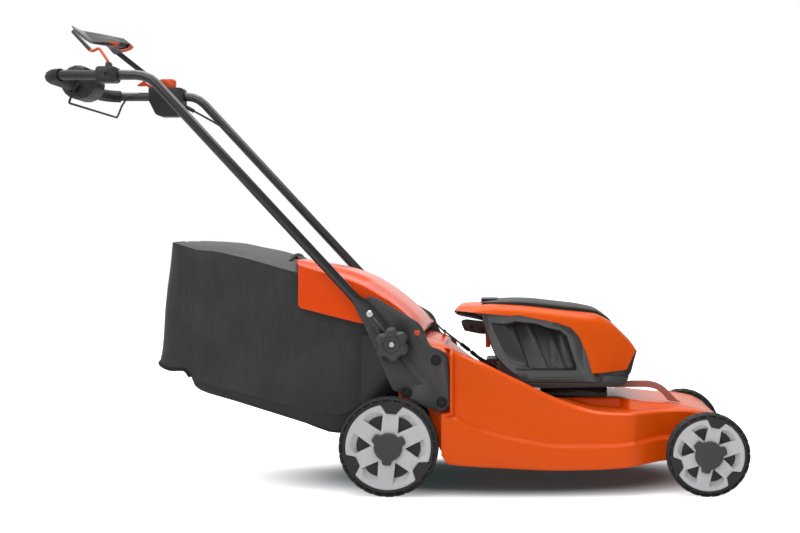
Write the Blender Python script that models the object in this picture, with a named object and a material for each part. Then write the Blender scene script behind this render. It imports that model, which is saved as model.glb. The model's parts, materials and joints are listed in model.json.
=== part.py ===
"""Cordless lawn mower with a 53 cm cut, in metres.

Shapes are written from the rear axle: X runs forward, Y to the mower's left and
Z up from the ground. The frame empty then centres the whole mower on the origin.
"""
import math

import bmesh
import bpy
from mathutils import Matrix, Vector

# Wheels and axles
WHEELBASE = 0.784
TRACK_OUTSIDE = 0.590
REAR_TYRE_RADIUS = 0.1225
FRONT_TYRE_RADIUS = 0.1025
TYRE_WIDTH = 0.044
TREAD_HEIGHT = 0.0022
REAR_LUGS = 28
FRONT_LUGS = 24
STUB_RADIUS = 0.006
SHAFT_RADIUS = 0.0065
CRANK_LENGTH = 0.050
CRANK_ANGLE = math.radians(40.0)
AXLE_TUBE_RADIUS = 0.008
LINK_CRANK = 0.036
FIT_GAP = 0.0003
RUN_GAP = 0.0008

# Deck
DECK_WIDTH = 0.560
DECK_WALL = 0.0025
DECK_FRONT = 0.846
DECK_REAR = -0.055
MOUTH_REAR = -0.0745
CHEEK_WALL = 0.0014
TUNNEL_WIDTH = 0.438
DOME_TOP = 0.2325
SKIRT_STEP = 0.005
SKIRT_REAR = 0.129

# Cutting gear
BLADE_LENGTH = 0.528
BLADE_WIDTH = 0.058
BLADE_THICKNESS = 0.0035
BLADE_HEIGHT = 0.082
SPINDLE_X = 0.467
SPINDLE_HOLE = 0.024
MOTOR_RADIUS = 0.066
MOTOR_HEIGHT = 0.052

# Battery housing
HOUSING_HALF_WIDTH = 0.170
HOUSING_WALL = 0.003
NECK_FRONT = 0.548
NECK_REAR = 0.376
PACK_LENGTH = 0.148
PACK_WIDTH = 0.078
PACK_HEIGHT = 0.122
PACK_GAP = 0.004
BAY_FLOOR = 0.303

# Handle
HANDLE_Y = 0.2575
TUBE_RADIUS = 0.0125
HANDLE_BEND = (-0.5951, 1.0361)
HANDLE_PIVOT = (-0.0489, 0.4466)
HANDLE_TOP = 1.0361
GRIP_REAR = -0.8505
GRIP_RADIUS = 0.017
KNOB_DISTANCE = 0.0936
KNOB_RADIUS = 0.043
KNOB_TURN = math.radians(35.0)
BOLT_RADIUS = 0.004
TAB_THICKNESS = 0.010
BRACKET_THICKNESS = 0.012
BRACKET_OUTSIDE = 0.2445
BAIL_RADIUS = 0.00335
STOP_BAIL_RADIUS = 0.003
CABLE_RADIUS = 0.0032

# Rear flap and grass bag
FLAP_PIN = (0.0673, 0.3996)
FLAP_PIN_RADIUS = 0.003
FLAP_WALL = 0.003
BAG_HALF_WIDTH = 0.196
BAG_WALL = 0.003

REAR_AXLE_Z = REAR_TYRE_RADIUS
FRONT_AXLE_Z = FRONT_TYRE_RADIUS
TYRE_Y = TRACK_OUTSIDE / 2 - TYRE_WIDTH / 2
CRANK_X = CRANK_LENGTH * math.cos(CRANK_ANGLE)
CRANK_Z = CRANK_LENGTH * math.sin(CRANK_ANGLE)
REAR_CRANK = (CRANK_X, REAR_AXLE_Z + CRANK_Z)
FRONT_CRANK = (WHEELBASE + CRANK_X, FRONT_AXLE_Z + CRANK_Z)
POD = (-0.838, 1.043)
POD_RADIUS = 0.045
CENTRE_X = (POD[0] - POD_RADIUS + WHEELBASE + FRONT_TYRE_RADIUS) / 2
HANDLE_SLOPE = math.atan2(HANDLE_BEND[1] - HANDLE_PIVOT[1],
                          HANDLE_BEND[0] - HANDLE_PIVOT[0])
KNOB = (HANDLE_PIVOT[0] - KNOB_DISTANCE * math.cos(HANDLE_SLOPE - 0.09),
        HANDLE_PIVOT[1] - KNOB_DISTANCE * math.sin(HANDLE_SLOPE - 0.09))

COLOURS = {
    "deck_orange": ((0.80, 0.10, 0.022), 0.30, 0.0),
    "flap_orange": ((0.87, 0.09, 0.008), 0.42, 0.0),
    "part_orange": ((0.60, 0.085, 0.025), 0.45, 0.0),
    "dark_plastic": ((0.040, 0.040, 0.042), 0.50, 0.0),
    "grey_plastic": ((0.075, 0.076, 0.080), 0.45, 0.0),
    "soft_rubber": ((0.020, 0.020, 0.021), 0.75, 0.0),
    "tyre": ((0.024, 0.024, 0.025), 0.80, 0.0),
    "rim_grey": ((0.46, 0.46, 0.46), 0.45, 0.0),
    "black_steel": ((0.045, 0.045, 0.048), 0.38, 0.3),
    "steel": ((0.55, 0.55, 0.56), 0.32, 1.0),
    "blade_steel": ((0.05, 0.05, 0.055), 0.42, 0.8),
    "fabric": ((0.045, 0.046, 0.047), 0.92, 0.0),
    "strap": ((0.36, 0.125, 0.09), 0.40, 0.0),
}


def clear_scene():
    for old in list(bpy.data.objects):
        bpy.data.objects.remove(old, do_unlink=True)


def make_material(name):
    colour, roughness, metallic = COLOURS[name]
    material = bpy.data.materials.new(name)
    material.use_nodes = True
    shader = material.node_tree.nodes["Principled BSDF"]
    shader.inputs["Base Color"].default_value = (*colour, 1.0)
    shader.inputs["Roughness"].default_value = roughness
    shader.inputs["Metallic"].default_value = metallic
    return material


def empty(name, place, parent=None):
    """An empty at a place written from the rear axle."""
    holder = bpy.data.objects.new(name, None)
    bpy.context.collection.objects.link(holder)
    holder.parent = parent
    here = Vector(place)
    holder["place"] = here
    holder.location = here - Vector(parent["place"]) if parent else here
    holder.empty_display_size = 0.02
    return holder


def solid(name, bm, material, parent, smooth=35):
    """Close a mesh that is written from the rear axle into a named object."""
    bmesh.ops.remove_doubles(bm, verts=bm.verts, dist=1e-6)
    bmesh.ops.recalc_face_normals(bm, faces=bm.faces)
    bmesh.ops.translate(bm, verts=bm.verts, vec=-Vector(parent["place"]))
    mesh = bpy.data.meshes.new(name)
    bm.to_mesh(mesh)
    bm.free()
    mesh.shade_smooth()
    mesh.set_sharp_from_angle(angle=math.radians(smooth))
    obj = bpy.data.objects.new(name, mesh)
    bpy.context.collection.objects.link(obj)
    obj.parent = parent
    if material not in MATERIALS:
        MATERIALS[material] = make_material(material)
    mesh.materials.append(MATERIALS[material])
    return obj


def combine(obj, bm, operation="DIFFERENCE"):
    """Cut a closed shape from an object, or join it on."""
    tool = solid(obj.name + "_tool", bm, "steel", obj.parent)
    tool.hide_render = True
    tool.display_type = "WIRE"
    modifier = obj.modifiers.new(operation.lower(), "BOOLEAN")
    modifier.operation = operation
    modifier.object = tool
    modifier.solver = "EXACT"
    return modifier


def bevel(obj, width, segments=1, angle=40):
    modifier = obj.modifiers.new("edges", "BEVEL")
    modifier.width = width
    modifier.segments = segments
    modifier.limit_method = "ANGLE"
    modifier.angle_limit = math.radians(angle)
    modifier.use_clamp_overlap = True
    return modifier


def thicken(obj, wall, offset=-1.0):
    modifier = obj.modifiers.new("wall", "SOLIDIFY")
    modifier.thickness = wall
    modifier.offset = offset
    modifier.use_even_offset = False
    return modifier


def blend_curve(points):
    """A smooth function of x through a few (x, value) points."""
    xs = [p[0] for p in points]
    ys = [p[1] for p in points]
    steps = [(ys[i + 1] - ys[i]) / (xs[i + 1] - xs[i]) for i in range(len(xs) - 1)]
    slopes = [steps[0]]
    for before, after in zip(steps, steps[1:]):
        slopes.append(0.0 if before * after <= 0 else 2 * before * after / (before + after))
    slopes.append(steps[-1])

    def value(x):
        if x <= xs[0]:
            return ys[0]
        if x >= xs[-1]:
            return ys[-1]
        i = max(k for k in range(len(xs) - 1) if xs[k] <= x)
        h = xs[i + 1] - xs[i]
        t = (x - xs[i]) / h
        a = (1 + 2 * t) * (1 - t) ** 2 * ys[i] + t * (1 - t) ** 2 * h * slopes[i]
        b = t * t * (3 - 2 * t) * ys[i + 1] + t * t * (t - 1) * h * slopes[i + 1]
        return a + b

    return value


def rounded(corners, steps=4):
    """An outline from (x, z, radius) corners, with its corners rounded off."""
    out = []
    count = len(corners)
    for i, (x, z, radius) in enumerate(corners):
        here = Vector((x, z))
        if radius <= 0:
            out.append((x, z))
            continue
        back = Vector(corners[i - 1][:2]) - here
        ahead = Vector(corners[(i + 1) % count][:2]) - here
        half = back.angle(ahead) / 2
        reach = min(radius / math.tan(half), 0.49 * back.length, 0.49 * ahead.length)
        centre_reach = reach / math.cos(half)
        centre = here + (back.normalized() + ahead.normalized()).normalized() * centre_reach
        start = here + back.normalized() * reach - centre
        sweep = -start.angle_signed(here + ahead.normalized() * reach - centre)
        for k in range(steps + 1):
            turned_point = start.copy()
            turned_point.rotate(Matrix.Rotation(sweep * k / steps, 2))
            out.append(tuple(centre + turned_point))
    return out


def circle(x, z, radius, count=16, start=0.0):
    return [(x + radius * math.cos(start + 2 * math.pi * k / count),
             z + radius * math.sin(start + 2 * math.pi * k / count))
            for k in range(count)]


def plate(outline, y_low, y_high, holes=()):
    """A flat plate in XZ with through holes, from y_low to y_high."""
    bm = bmesh.new()
    edges = []
    for loop in [outline, *holes]:
        verts = [bm.verts.new((x, y_low, z)) for x, z in loop]
        for i, vert in enumerate(verts):
            edges.append(bm.edges.new((vert, verts[(i + 1) % len(verts)])))
    bmesh.ops.triangle_fill(bm, use_beauty=True, use_dissolve=False, edges=edges)
    grown = bmesh.ops.extrude_face_region(bm, geom=list(bm.faces))
    moved = [item for item in grown["geom"] if isinstance(item, bmesh.types.BMVert)]
    bmesh.ops.translate(bm, verts=moved, vec=(0, y_high - y_low, 0))
    return bm


def slab(outline, z_low, z_high, holes=()):
    """A flat plate in XY with through holes, from z_low to z_high."""
    bm = plate([(x, -y) for x, y in outline], z_low, z_high,
               [[(x, -y) for x, y in loop] for loop in holes])
    bmesh.ops.rotate(bm, verts=bm.verts, matrix=Matrix.Rotation(math.pi / 2, 3, "X"))
    return bm


def block(x0, x1, y0, y1, z0, z1):
    return plate([(x0, z0), (x1, z0), (x1, z1), (x0, z1)], y0, y1)


def turned(profile, centre, axis="Y", steps=32, phase=0.0, close=False):
    """A turned solid from (radius, height) points along an axis through centre."""
    bm = bmesh.new()
    rings = []
    for radius, height in profile:
        if radius < 1e-9:
            rings.append([bm.verts.new((0, 0, height))])
        else:
            rings.append([bm.verts.new((radius * math.cos(phase + 2 * math.pi * k / steps),
                                        radius * math.sin(phase + 2 * math.pi * k / steps),
                                        height)) for k in range(steps)])
    pairs = list(zip(rings, rings[1:]))
    if close:
        pairs.append((rings[-1], rings[0]))
    for low, high in pairs:
        for k in range(steps):
            n = (k + 1) % steps
            corners = [low[k % len(low)], low[n % len(low)], high[n % len(high)], high[k % len(high)]]
            face = []
            for vert in corners:
                if vert not in face:
                    face.append(vert)
            if len(face) > 2:
                bm.faces.new(face)
    if axis == "Y":
        bmesh.ops.rotate(bm, verts=bm.verts, matrix=Matrix.Rotation(-math.pi / 2, 3, "X"))
    if axis == "X":
        bmesh.ops.rotate(bm, verts=bm.verts, matrix=Matrix.Rotation(math.pi / 2, 3, "Y"))
    bmesh.ops.translate(bm, verts=bm.verts, vec=centre)
    return bm


def bore_radius(radius, steps):
    """The size of a bore of flat facets that clears a round bar."""
    return (radius + FIT_GAP) / math.cos(math.pi / steps)


def rod(start, end, radius, steps=12):
    """A straight round bar between two points."""
    return swept([Vector(start), Vector(end)], circle(0, 0, radius, steps))


def swept(points, section, scales=None, up=(0, 1, 0)):
    """A solid whose (u, v) section follows a path and turns as little as it can."""
    points = [Vector(p) for p in points]
    bm = bmesh.new()
    rings = []
    side = Vector(up)
    if abs(side.dot((points[1] - points[0]).normalized())) > 0.9:
        side = Vector((1, 0, 0))
    for i, point in enumerate(points):
        back = points[max(i - 1, 0)]
        ahead = points[min(i + 1, len(points) - 1)]
        along = (ahead - back).normalized()
        if i not in (0, len(points) - 1):
            before = (point - back).normalized()
            after = (ahead - point).normalized()
            along = (before + after).normalized()
        side = (side - along * side.dot(along)).normalized()
        rise = along.cross(side)
        grow = scales[i] if scales else (1.0, 1.0)
        rings.append([bm.verts.new(point + side * u * grow[0] + rise * v * grow[1])
                      for u, v in section])
    skin(bm, rings)
    return bm


def skin(bm, rings, caps=True):
    """Faces between rings of the same count, with flat ends."""
    count = len(rings[0])
    for low, high in zip(rings, rings[1:]):
        for k in range(count):
            n = (k + 1) % count
            bm.faces.new((low[k], low[n], high[n], high[k]))
    if caps:
        bm.faces.new(list(reversed(rings[0])))
        bm.faces.new(rings[-1])


def sheet(rows):
    """An open sheet of faces through rows of points."""
    bm = bmesh.new()
    grid = [[bm.verts.new(p) for p in row] for row in rows]
    for low, high in zip(grid, grid[1:]):
        for k in range(len(low) - 1):
            bm.faces.new((low[k], low[k + 1], high[k + 1], high[k]))
    return bm, grid


def arc_path(corners, step=math.radians(12)):
    """A path through (point, radius) corners, with round bends at even angles."""
    points = [Vector(corners[0][0])]
    for (before, _), (here, radius), (after, _) in zip(corners, corners[1:], corners[2:]):
        here = Vector(here)
        back = (Vector(before) - here).normalized()
        ahead = (Vector(after) - here).normalized()
        turn = math.pi - back.angle(ahead)
        if radius <= 0 or turn < 1e-4:
            points.append(here)
            continue
        reach = radius * math.tan(turn / 2)
        centre = here + (back + ahead).normalized() * radius / math.cos(turn / 2)
        start = here + back * reach - centre
        normal = (-back).cross(ahead)
        count = max(2, math.ceil(turn / step))
        for k in range(count + 1):
            points.append(centre + Matrix.Rotation(turn * k / count, 3, normal) @ start)
    points.append(Vector(corners[-1][0]))
    return points


def smooth_path(points, spacing):
    """Points at an even spacing on a smooth curve through the route's points."""
    points = [Vector(p) for p in points]
    ends = [2 * points[0] - points[1], *points, 2 * points[-1] - points[-2]]
    dense = []
    for a, b, c, d in zip(ends, ends[1:], ends[2:], ends[3:]):
        for k in range(24):
            t = k / 24
            dense.append(0.5 * (2 * b + (c - a) * t + (2 * a - 5 * b + 4 * c - d) * t * t
                                + (3 * b - a - 3 * c + d) * t ** 3))
    dense.append(points[-1])
    lengths = [0.0]
    for a, b in zip(dense, dense[1:]):
        lengths.append(lengths[-1] + (b - a).length)
    count = max(2, round(lengths[-1] / spacing))
    out = []
    for k in range(count + 1):
        want = lengths[-1] * k / count
        i = max(j for j in range(len(lengths)) if lengths[j] <= want + 1e-12)
        i = min(i, len(dense) - 2)
        span = lengths[i + 1] - lengths[i]
        out.append(dense[i].lerp(dense[i + 1], (want - lengths[i]) / span))
    return out


def mirrored(bm):
    """The same shape on the mower's other side."""
    bmesh.ops.scale(bm, verts=bm.verts, vec=(1, -1, 1))
    bmesh.ops.reverse_faces(bm, faces=bm.faces)
    return bm


def merged(*shapes):
    """One mesh that holds several closed shapes."""
    base = shapes[0]
    for shape in shapes[1:]:
        mesh = bpy.data.meshes.new("join")
        shape.to_mesh(mesh)
        shape.free()
        base.from_mesh(mesh)
        bpy.data.meshes.remove(mesh)
    return base


def polar(radius, degrees):
    return (radius * math.cos(math.radians(degrees)), radius * math.sin(math.radians(degrees)))


def moved_outline(outline, x, z):
    return [(x + px, z + pz) for px, pz in outline]


class Wheel:
    """The sizes of one wheel: a chunky tyre on a six-spoke plastic rim."""

    def __init__(self, radius, turn, lugs, bore):
        self.radius = radius
        self.turn = turn
        self.lugs = lugs
        self.bore = bore
        self.rim = 0.853 * radius
        self.notch_floor = 0.665 * radius
        self.notch_half = 0.235 * radius
        self.floor_half = 0.100 * radius
        self.window_top = 0.650 * radius
        self.window_half = 0.160 * radius
        self.window_foot = 0.365 * radius


REAR_WHEEL = Wheel(REAR_TYRE_RADIUS, -5.0, REAR_LUGS, SHAFT_RADIUS)
FRONT_WHEEL = Wheel(FRONT_TYRE_RADIUS, -12.5, FRONT_LUGS, STUB_RADIUS)
NOTCH_ANGLES = (90, 210, 330)
WINDOW_DEPTH = 0.016
CAP_RADIUS = 0.0345
CAP_TAB_REACH = 0.0440
CAP_TAB_HALF = 12


def notch_points(wheel, angle, clearance):
    """The trapezoid notch where the tyre reaches into the rim face."""
    along = Vector(polar(1, angle))
    across = Vector((-along.y, along.x))
    top = math.sqrt((wheel.rim + 0.004) ** 2 - wheel.notch_half ** 2)
    return [tuple(along * depth + across * offset) for depth, offset in (
        (top, -wheel.notch_half - clearance),
        (wheel.notch_floor - clearance, -wheel.floor_half - clearance),
        (wheel.notch_floor - clearance, wheel.floor_half + clearance),
        (top, wheel.notch_half + clearance))]


def tyre(wheel, x, z):
    """Turned rubber with block lugs round its tread."""
    half = TYRE_WIDTH / 2
    steps = wheel.lugs * 4
    facet = math.pi / steps
    crown = wheel.radius / math.cos(facet)
    bm = bmesh.new()
    rings = []
    for k in range(steps):
        angle = -math.pi / 2 + facet * (2 * k - 1)
        dip = TREAD_HEIGHT if k % 4 > 1 else 0.0
        section = [(wheel.rim + FIT_GAP, -half),
                   (crown - 0.007 - dip / 2, -half),
                   (crown - dip, 0.006 - half),
                   (crown - dip, half - 0.006),
                   (crown - 0.007 - dip / 2, half),
                   (wheel.rim + FIT_GAP, half)]
        rings.append([bm.verts.new((x + r * math.cos(angle), y - TYRE_Y, z + r * math.sin(angle)))
                      for r, y in section])
    skin(bm, [*rings, rings[0]], caps=False)
    return bm


def tyre_lobes(wheel, x, z):
    """Three rubber blocks that key the tyre into the rim face."""
    face = -TYRE_Y - TYRE_WIDTH / 2
    shapes = [plate(moved_outline(notch_points(wheel, angle + wheel.turn, 0.0), x, z),
                    face + 0.002, face + 0.010) for angle in NOTCH_ANGLES]
    return merged(*shapes)


def rim_face(wheel):
    """The rim's outline with its three notches, and its six windows."""
    outline = []
    half_notch = math.degrees(math.asin(wheel.notch_half / wheel.rim)) + 0.6
    for angle in [wheel.turn + a for a in NOTCH_ANGLES]:
        points = notch_points(wheel, angle, FIT_GAP)
        outline.append(polar(wheel.rim, angle - half_notch))
        outline += points[1:3]
        outline.append(polar(wheel.rim, angle + half_notch))
        for k in range(1, 6):
            outline.append(polar(wheel.rim, angle + half_notch + (120 - 2 * half_notch) * k / 6))
    windows = []
    for k in range(6):
        middle = 60 * k + wheel.turn
        foot = Vector(polar(wheel.window_foot, middle))
        top = wheel.window_top
        lean = math.degrees(math.asin(wheel.window_half / top))
        left = Vector(polar(top, middle + lean))
        right = Vector(polar(top, middle - lean))
        crown = Vector(polar(top, middle))
        windows.append([tuple(foot), tuple(right), tuple(crown), tuple(left)])
    return outline, windows


def rim(name, wheel, x, z, parent, side):
    """A moulded six-spoke rim, closed behind its windows, with a longer hub."""
    face = -TYRE_Y - TYRE_WIDTH / 2
    back = -TYRE_Y + TYRE_WIDTH / 2
    bore = wheel.bore + RUN_GAP
    outline, windows = rim_face(wheel)
    shape = plate(moved_outline(outline, x, z), face + 0.001, face + 0.042, [circle(x, z, 0.0165, 14)])
    cuts = merged(*[plate(moved_outline(loop, x, z), face - 0.001, face + WINDOW_DEPTH) for loop in windows])
    depth = TYRE_Y + TYRE_WIDTH / 2 - LINK_OUTSIDE - HUB_GAP
    barrel = turned([(bore, 0.0105), (bore, depth), (0.018, depth), (0.018, 0.0105)],
                    (x, face, z), steps=14, phase=0.1, close=True)
    if side > 0:
        for bm in (shape, barrel, cuts):
            mirrored(bm)
    obj = solid(name, shape, "rim_grey", parent)
    combine(obj, cuts)
    combine(obj, barrel, "UNION")
    return obj


def hub_cap(wheel, x, z):
    """A shallow cap with three small tabs over the axle end."""
    face = -TYRE_Y - TYRE_WIDTH / 2
    bm = bmesh.new()
    rings = []
    for inset, depth in ((0.0, 0.0007), (0.0, -0.003), (0.004, -0.006)):
        ring = []
        for k in range(36):
            angle = 10 * k
            off = abs((angle - 30 + 60) % 120 - 60)
            swell = min(1.0, max(0.0, (CAP_TAB_HALF - off) / 10 + 0.5))
            reach = CAP_RADIUS + (CAP_TAB_REACH - CAP_RADIUS) * swell - inset
            px, pz = polar(reach, angle + wheel.turn)
            ring.append(bm.verts.new((x + px, face + depth, z + pz)))
        rings.append(ring)
    skin(bm, rings)
    return bm


def make_wheel(label, wheel, x, z, side, parent):
    shape = tyre(wheel, x, z)
    lobes = tyre_lobes(wheel, x, z)
    cap = hub_cap(wheel, x, z)
    if side > 0:
        for bm in (shape, lobes, cap):
            mirrored(bm)
    body = solid(label + "_tyre", shape, "tyre", parent)
    combine(body, lobes, "UNION")
    rim(label + "_rim", wheel, x, z, parent, side)
    solid(label + "_hub_cap", cap, "dark_plastic", parent)


ARM_INSIDE = 0.2360
ARM_OUTSIDE = 0.2405
LINK_INSIDE = 0.2412
LINK_OUTSIDE = 0.2447
HUB_GAP = 0.0013
LINK_LEAN = math.radians(120.5)
LINK_PIN_RADIUS = 0.004
STUB_END = 0.2860
EAR_OUTSIDE = 0.2205
EAR_INSIDE = 0.2160


def crank_plate(pivot, axle, bore, pin=None):
    """A flat arm from the pivot tube to the axle, with an ear for the link."""
    eye = 0.014
    spots = [(axle, eye), (pivot, 0.015)]
    if pin:
        spots.append((pin, 0.009))
    cloud = []
    for (px, pz), radius in spots:
        cloud += circle(px, pz, radius, 16)
    outline = hull_outline(cloud)
    return outline, circle(*axle, bore, 12)


def hull_outline(points):
    """The outline of a stretched band round some points."""
    points = sorted(set(points))

    def chain(run):
        out = []
        for p in run:
            while len(out) > 1 and ((out[-1][0] - out[-2][0]) * (p[1] - out[-2][1])
                                    - (out[-1][1] - out[-2][1]) * (p[0] - out[-2][0])) <= 0:
                out.pop()
            out.append(p)
        return out

    return chain(points)[:-1] + chain(points[::-1])[:-1]


def link_pin(pivot):
    return (pivot[0] + LINK_CRANK * math.cos(LINK_LEAN), pivot[1] + LINK_CRANK * math.sin(LINK_LEAN))


def axle_frame(name, pivot, axle, parent, through_shaft):
    """A cross tube with a crank at each end; the left one also takes the link."""
    tube = rod((pivot[0], -ARM_INSIDE - 0.001, pivot[1]), (pivot[0], ARM_INSIDE + 0.001, pivot[1]),
               AXLE_TUBE_RADIUS, 14)
    obj = solid(name, tube, "black_steel", parent)
    bore = SHAFT_RADIUS + RUN_GAP
    for side in (-1, 1):
        pin = link_pin(pivot) if side > 0 else None
        outline, hole = crank_plate(pivot, axle, bore, pin)
        holes = [hole] if through_shaft else []
        arm = plate(outline, side * ARM_INSIDE, side * ARM_OUTSIDE, holes)
        combine(obj, arm, "UNION")
        if pin:
            stud = rod((pin[0], ARM_OUTSIDE - 0.001, pin[1]), (pin[0], LINK_OUTSIDE + 0.001, pin[1]),
                       LINK_PIN_RADIUS, 10)
            combine(obj, stud, "UNION")
        if not through_shaft:
            stub = rod((axle[0], side * (ARM_OUTSIDE - 0.001), axle[1]),
                       (axle[0], side * STUB_END, axle[1]), STUB_RADIUS, 12)
            combine(obj, stub, "UNION")
    return obj


GEARBOX_RADIUS = 0.024
GEARBOX_HALF = 0.030
DRIVE_MOTOR_RADIUS = 0.021
DRIVE_MOTOR_END = 0.125
DRIVE_MOTOR = (REAR_CRANK[0] + 0.030, REAR_AXLE_Z - 0.012)
LEVER_LENGTH = 0.172
LEVER_INSIDE = 0.2265
LEVER_OUTSIDE = 0.2302
QUADRANT_INSIDE = 0.2213
QUADRANT_OUTSIDE = 0.2245


def rear_drive(parent):
    """The gearbox and its motor, hung on the rear cross tube."""
    shaft_hole = circle(0, REAR_AXLE_Z, SHAFT_RADIUS + RUN_GAP, 12)
    outline = hull_outline(circle(0, REAR_AXLE_Z, GEARBOX_RADIUS, 16)
                           + circle(*DRIVE_MOTOR, DRIVE_MOTOR_RADIUS - 0.003, 16))
    case = plate(outline, -GEARBOX_HALF, GEARBOX_HALF, [shaft_hole])
    box = solid("drive_gearbox", case, "dark_plastic", parent)
    bevel(box, 0.004)
    end = DRIVE_MOTOR_RADIUS
    profile = [(0, 0), (end - 0.003, 0), (end, 0.003), (end, 0.082), (end - 0.004, 0.086),
               (0.008, 0.086), (0.008, DRIVE_MOTOR_END - GEARBOX_HALF), (0, DRIVE_MOTOR_END - GEARBOX_HALF)]
    motor = turned(profile, (DRIVE_MOTOR[0], GEARBOX_HALF + FIT_GAP, DRIVE_MOTOR[1]), steps=14)
    solid("drive_motor", motor, "black_steel", parent)


def height_lever(parent):
    """The flat lever that lowers the deck, with a round grip turned outward."""
    px, pz = REAR_CRANK
    tip = (px - LEVER_LENGTH, pz)
    outline = hull_outline(circle(px, pz, 0.015, 16) + circle(*tip, 0.010, 12))
    bar = plate(outline, LEVER_INSIDE, LEVER_OUTSIDE, [circle(px, pz, AXLE_TUBE_RADIUS + FIT_GAP, 14)])
    lever = solid("height_lever", bar, "black_steel", parent)
    grip = turned([(0, 0), (0.0085, 0), (0.0085, 0.040), (0.010, 0.046), (0.0095, 0.058),
                   (0.006, 0.062), (0, 0.062)], (tip[0], LEVER_OUTSIDE - 0.001, tip[1]), steps=14)
    combine(lever, grip, "UNION")


def height_quadrant(parent):
    """The notched plate on the deck wall that the height lever locks into."""
    px, pz = REAR_CRANK
    outer = []
    for k in range(9):
        for shift, radius in ((-2.6, 0.142), (-1.3, 0.142), (-0.9, 0.134), (0.9, 0.134), (1.3, 0.142)):
            angle = 119 + 61 * k / 8 + shift
            ux, uz = polar(radius, angle)
            outer.append((px + ux, pz + uz))
    ux, uz = polar(0.142, 183)
    outer.append((px + ux, pz + uz))
    inner = [(px + polar(0.118, a)[0], pz + polar(0.118, a)[1]) for a in (183, 172, 161, 150)]
    foot = [(px - 0.088, 0.236), (px - 0.020, 0.230), (px - 0.020, 0.262), (px - 0.050, 0.272)]
    solid("height_quadrant", plate(outer + inner + foot, QUADRANT_INSIDE, QUADRANT_OUTSIDE),
          "black_steel", parent)


def height_link(parent):
    """The long bar that turns the front cranks with the rear ones."""
    rear = link_pin(REAR_CRANK)
    front = link_pin(FRONT_CRANK)
    hole = LINK_PIN_RADIUS + RUN_GAP
    outline = hull_outline(circle(*rear, 0.0075, 12) + circle(*front, 0.0075, 12))
    bar = plate(outline, LINK_INSIDE, LINK_OUTSIDE, [circle(*rear, hole, 10), circle(*front, hole, 10)])
    solid("height_link", bar, "steel", parent)


DECK_TOP = blend_curve([(-0.055, 0.408), (0.0, 0.397), (0.05, 0.385), (0.09, 0.367), (0.1547, 0.3465),
                        (0.2488, 0.2955), (0.3233, 0.2502), (0.4203, 0.2087), (0.5061, 0.1957),
                        (0.5909, 0.1928), (0.66, 0.200), (0.72, 0.206), (0.79, 0.199),
                        (0.825, 0.183), (DECK_FRONT, 0.158)])
DECK_PLATEAU = blend_curve([(0.13, 0.352), (0.20, 0.300), (0.26, 0.262), (0.31, 0.241),
                            (0.345, DOME_TOP), (0.585, DOME_TOP), (0.64, 0.222), (0.70, 0.214),
                            (0.76, 0.205), (0.82, 0.186), (DECK_FRONT, 0.158)])
LEFT_DROP = blend_curve([(0.13, 0.0), (0.19, 0.026), (0.33, 0.030), (0.45, 0.0)])
DECK_CREASE = blend_curve([(0.129, 0.200), (0.1591, 0.1911), (0.2356, 0.1583), (0.3341, 0.1342),
                           (0.4203, 0.1220), (0.5346, 0.1225), (0.6777, 0.1367), (0.75, 0.139),
                           (DECK_FRONT, 0.130)])
DECK_BOTTOM = blend_curve([(0.085, 0.214), (0.105, 0.170), (0.1225, 0.104), (0.129, 0.0994),
                           (0.1471, 0.0784), (0.2794, 0.0685), (0.4221, 0.0629),
                           (0.5184, 0.0651), (0.6838, 0.0803), (DECK_FRONT, 0.092)])
DECK_HALF = blend_curve([(0.129, DECK_WIDTH / 2), (0.52, DECK_WIDTH / 2), (0.58, DECK_WIDTH / 2 - 0.008),
                         (0.64, DECK_WIDTH / 2 - 0.031), (0.68, 0.232), (0.72, 0.226),
                         (0.80, 0.221), (0.83, 0.212), (DECK_FRONT, 0.196)])
REAR_NOTCH = blend_curve([(0.110, 0.0), (0.1275, 0.0215), (0.129, 0.0215), (0.150, 0.013),
                          (0.175, 0.005), (0.20, 0.0)])
DOME_WALL = blend_curve([(0.13, 0.150), (0.29, 0.150), (0.345, 0.122), (0.575, 0.122), (0.597, 0.150)])
DOME_FOOT = blend_curve([(0.29, 0.042), (0.345, 0.008), (0.575, 0.008), (0.597, 0.042)])
DECK_STATIONS = (DECK_REAR, 0.0, 0.085, 0.105, 0.1275, SKIRT_REAR, 0.150, 0.175, 0.215, 0.26,
                 0.30, 0.345, 0.40, 0.46, 0.53, 0.575, 0.597, 0.63, 0.67, 0.71,
                 0.76, 0.80, 0.828, DECK_FRONT)


def deck_half_section(x, side):
    """Points from the deck's middle out and down to the skirt's edge."""
    top = DECK_TOP(x) - (LEFT_DROP(x) if side > 0 else 0.0)
    skirt = x >= SKIRT_REAR
    half = DECK_HALF(x) if skirt else TUNNEL_WIDTH / 2
    low = DECK_BOTTOM(x)
    plateau = DECK_PLATEAU(x) if x > 0.13 else DECK_TOP(x)
    crease = min(DECK_CREASE(x), top - 0.022) if skirt else max(low + 0.008, 0.198)
    step = SKIRT_STEP if skirt else 0.0
    valley = min(plateau, top - 0.004)
    notch = REAR_NOTCH(x)
    wall = DOME_WALL(x)
    points = [(x, 0.075, plateau),
              (x, min(wall, half - 0.085), plateau),
              (x, min(wall + DOME_FOOT(x), half - 0.062), valley),
              (x + notch, half - 0.036, min(top - 0.002, valley + 0.05)),
              (x + notch, half - 0.020, top),
              (x + notch, half - 0.009, top - 0.013),
              (x + notch, half - step, crease + 0.003),
              (x, half, crease - 0.003),
              (x, half, low)]
    return [(px, side * py, pz) for px, py, pz in points]


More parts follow.
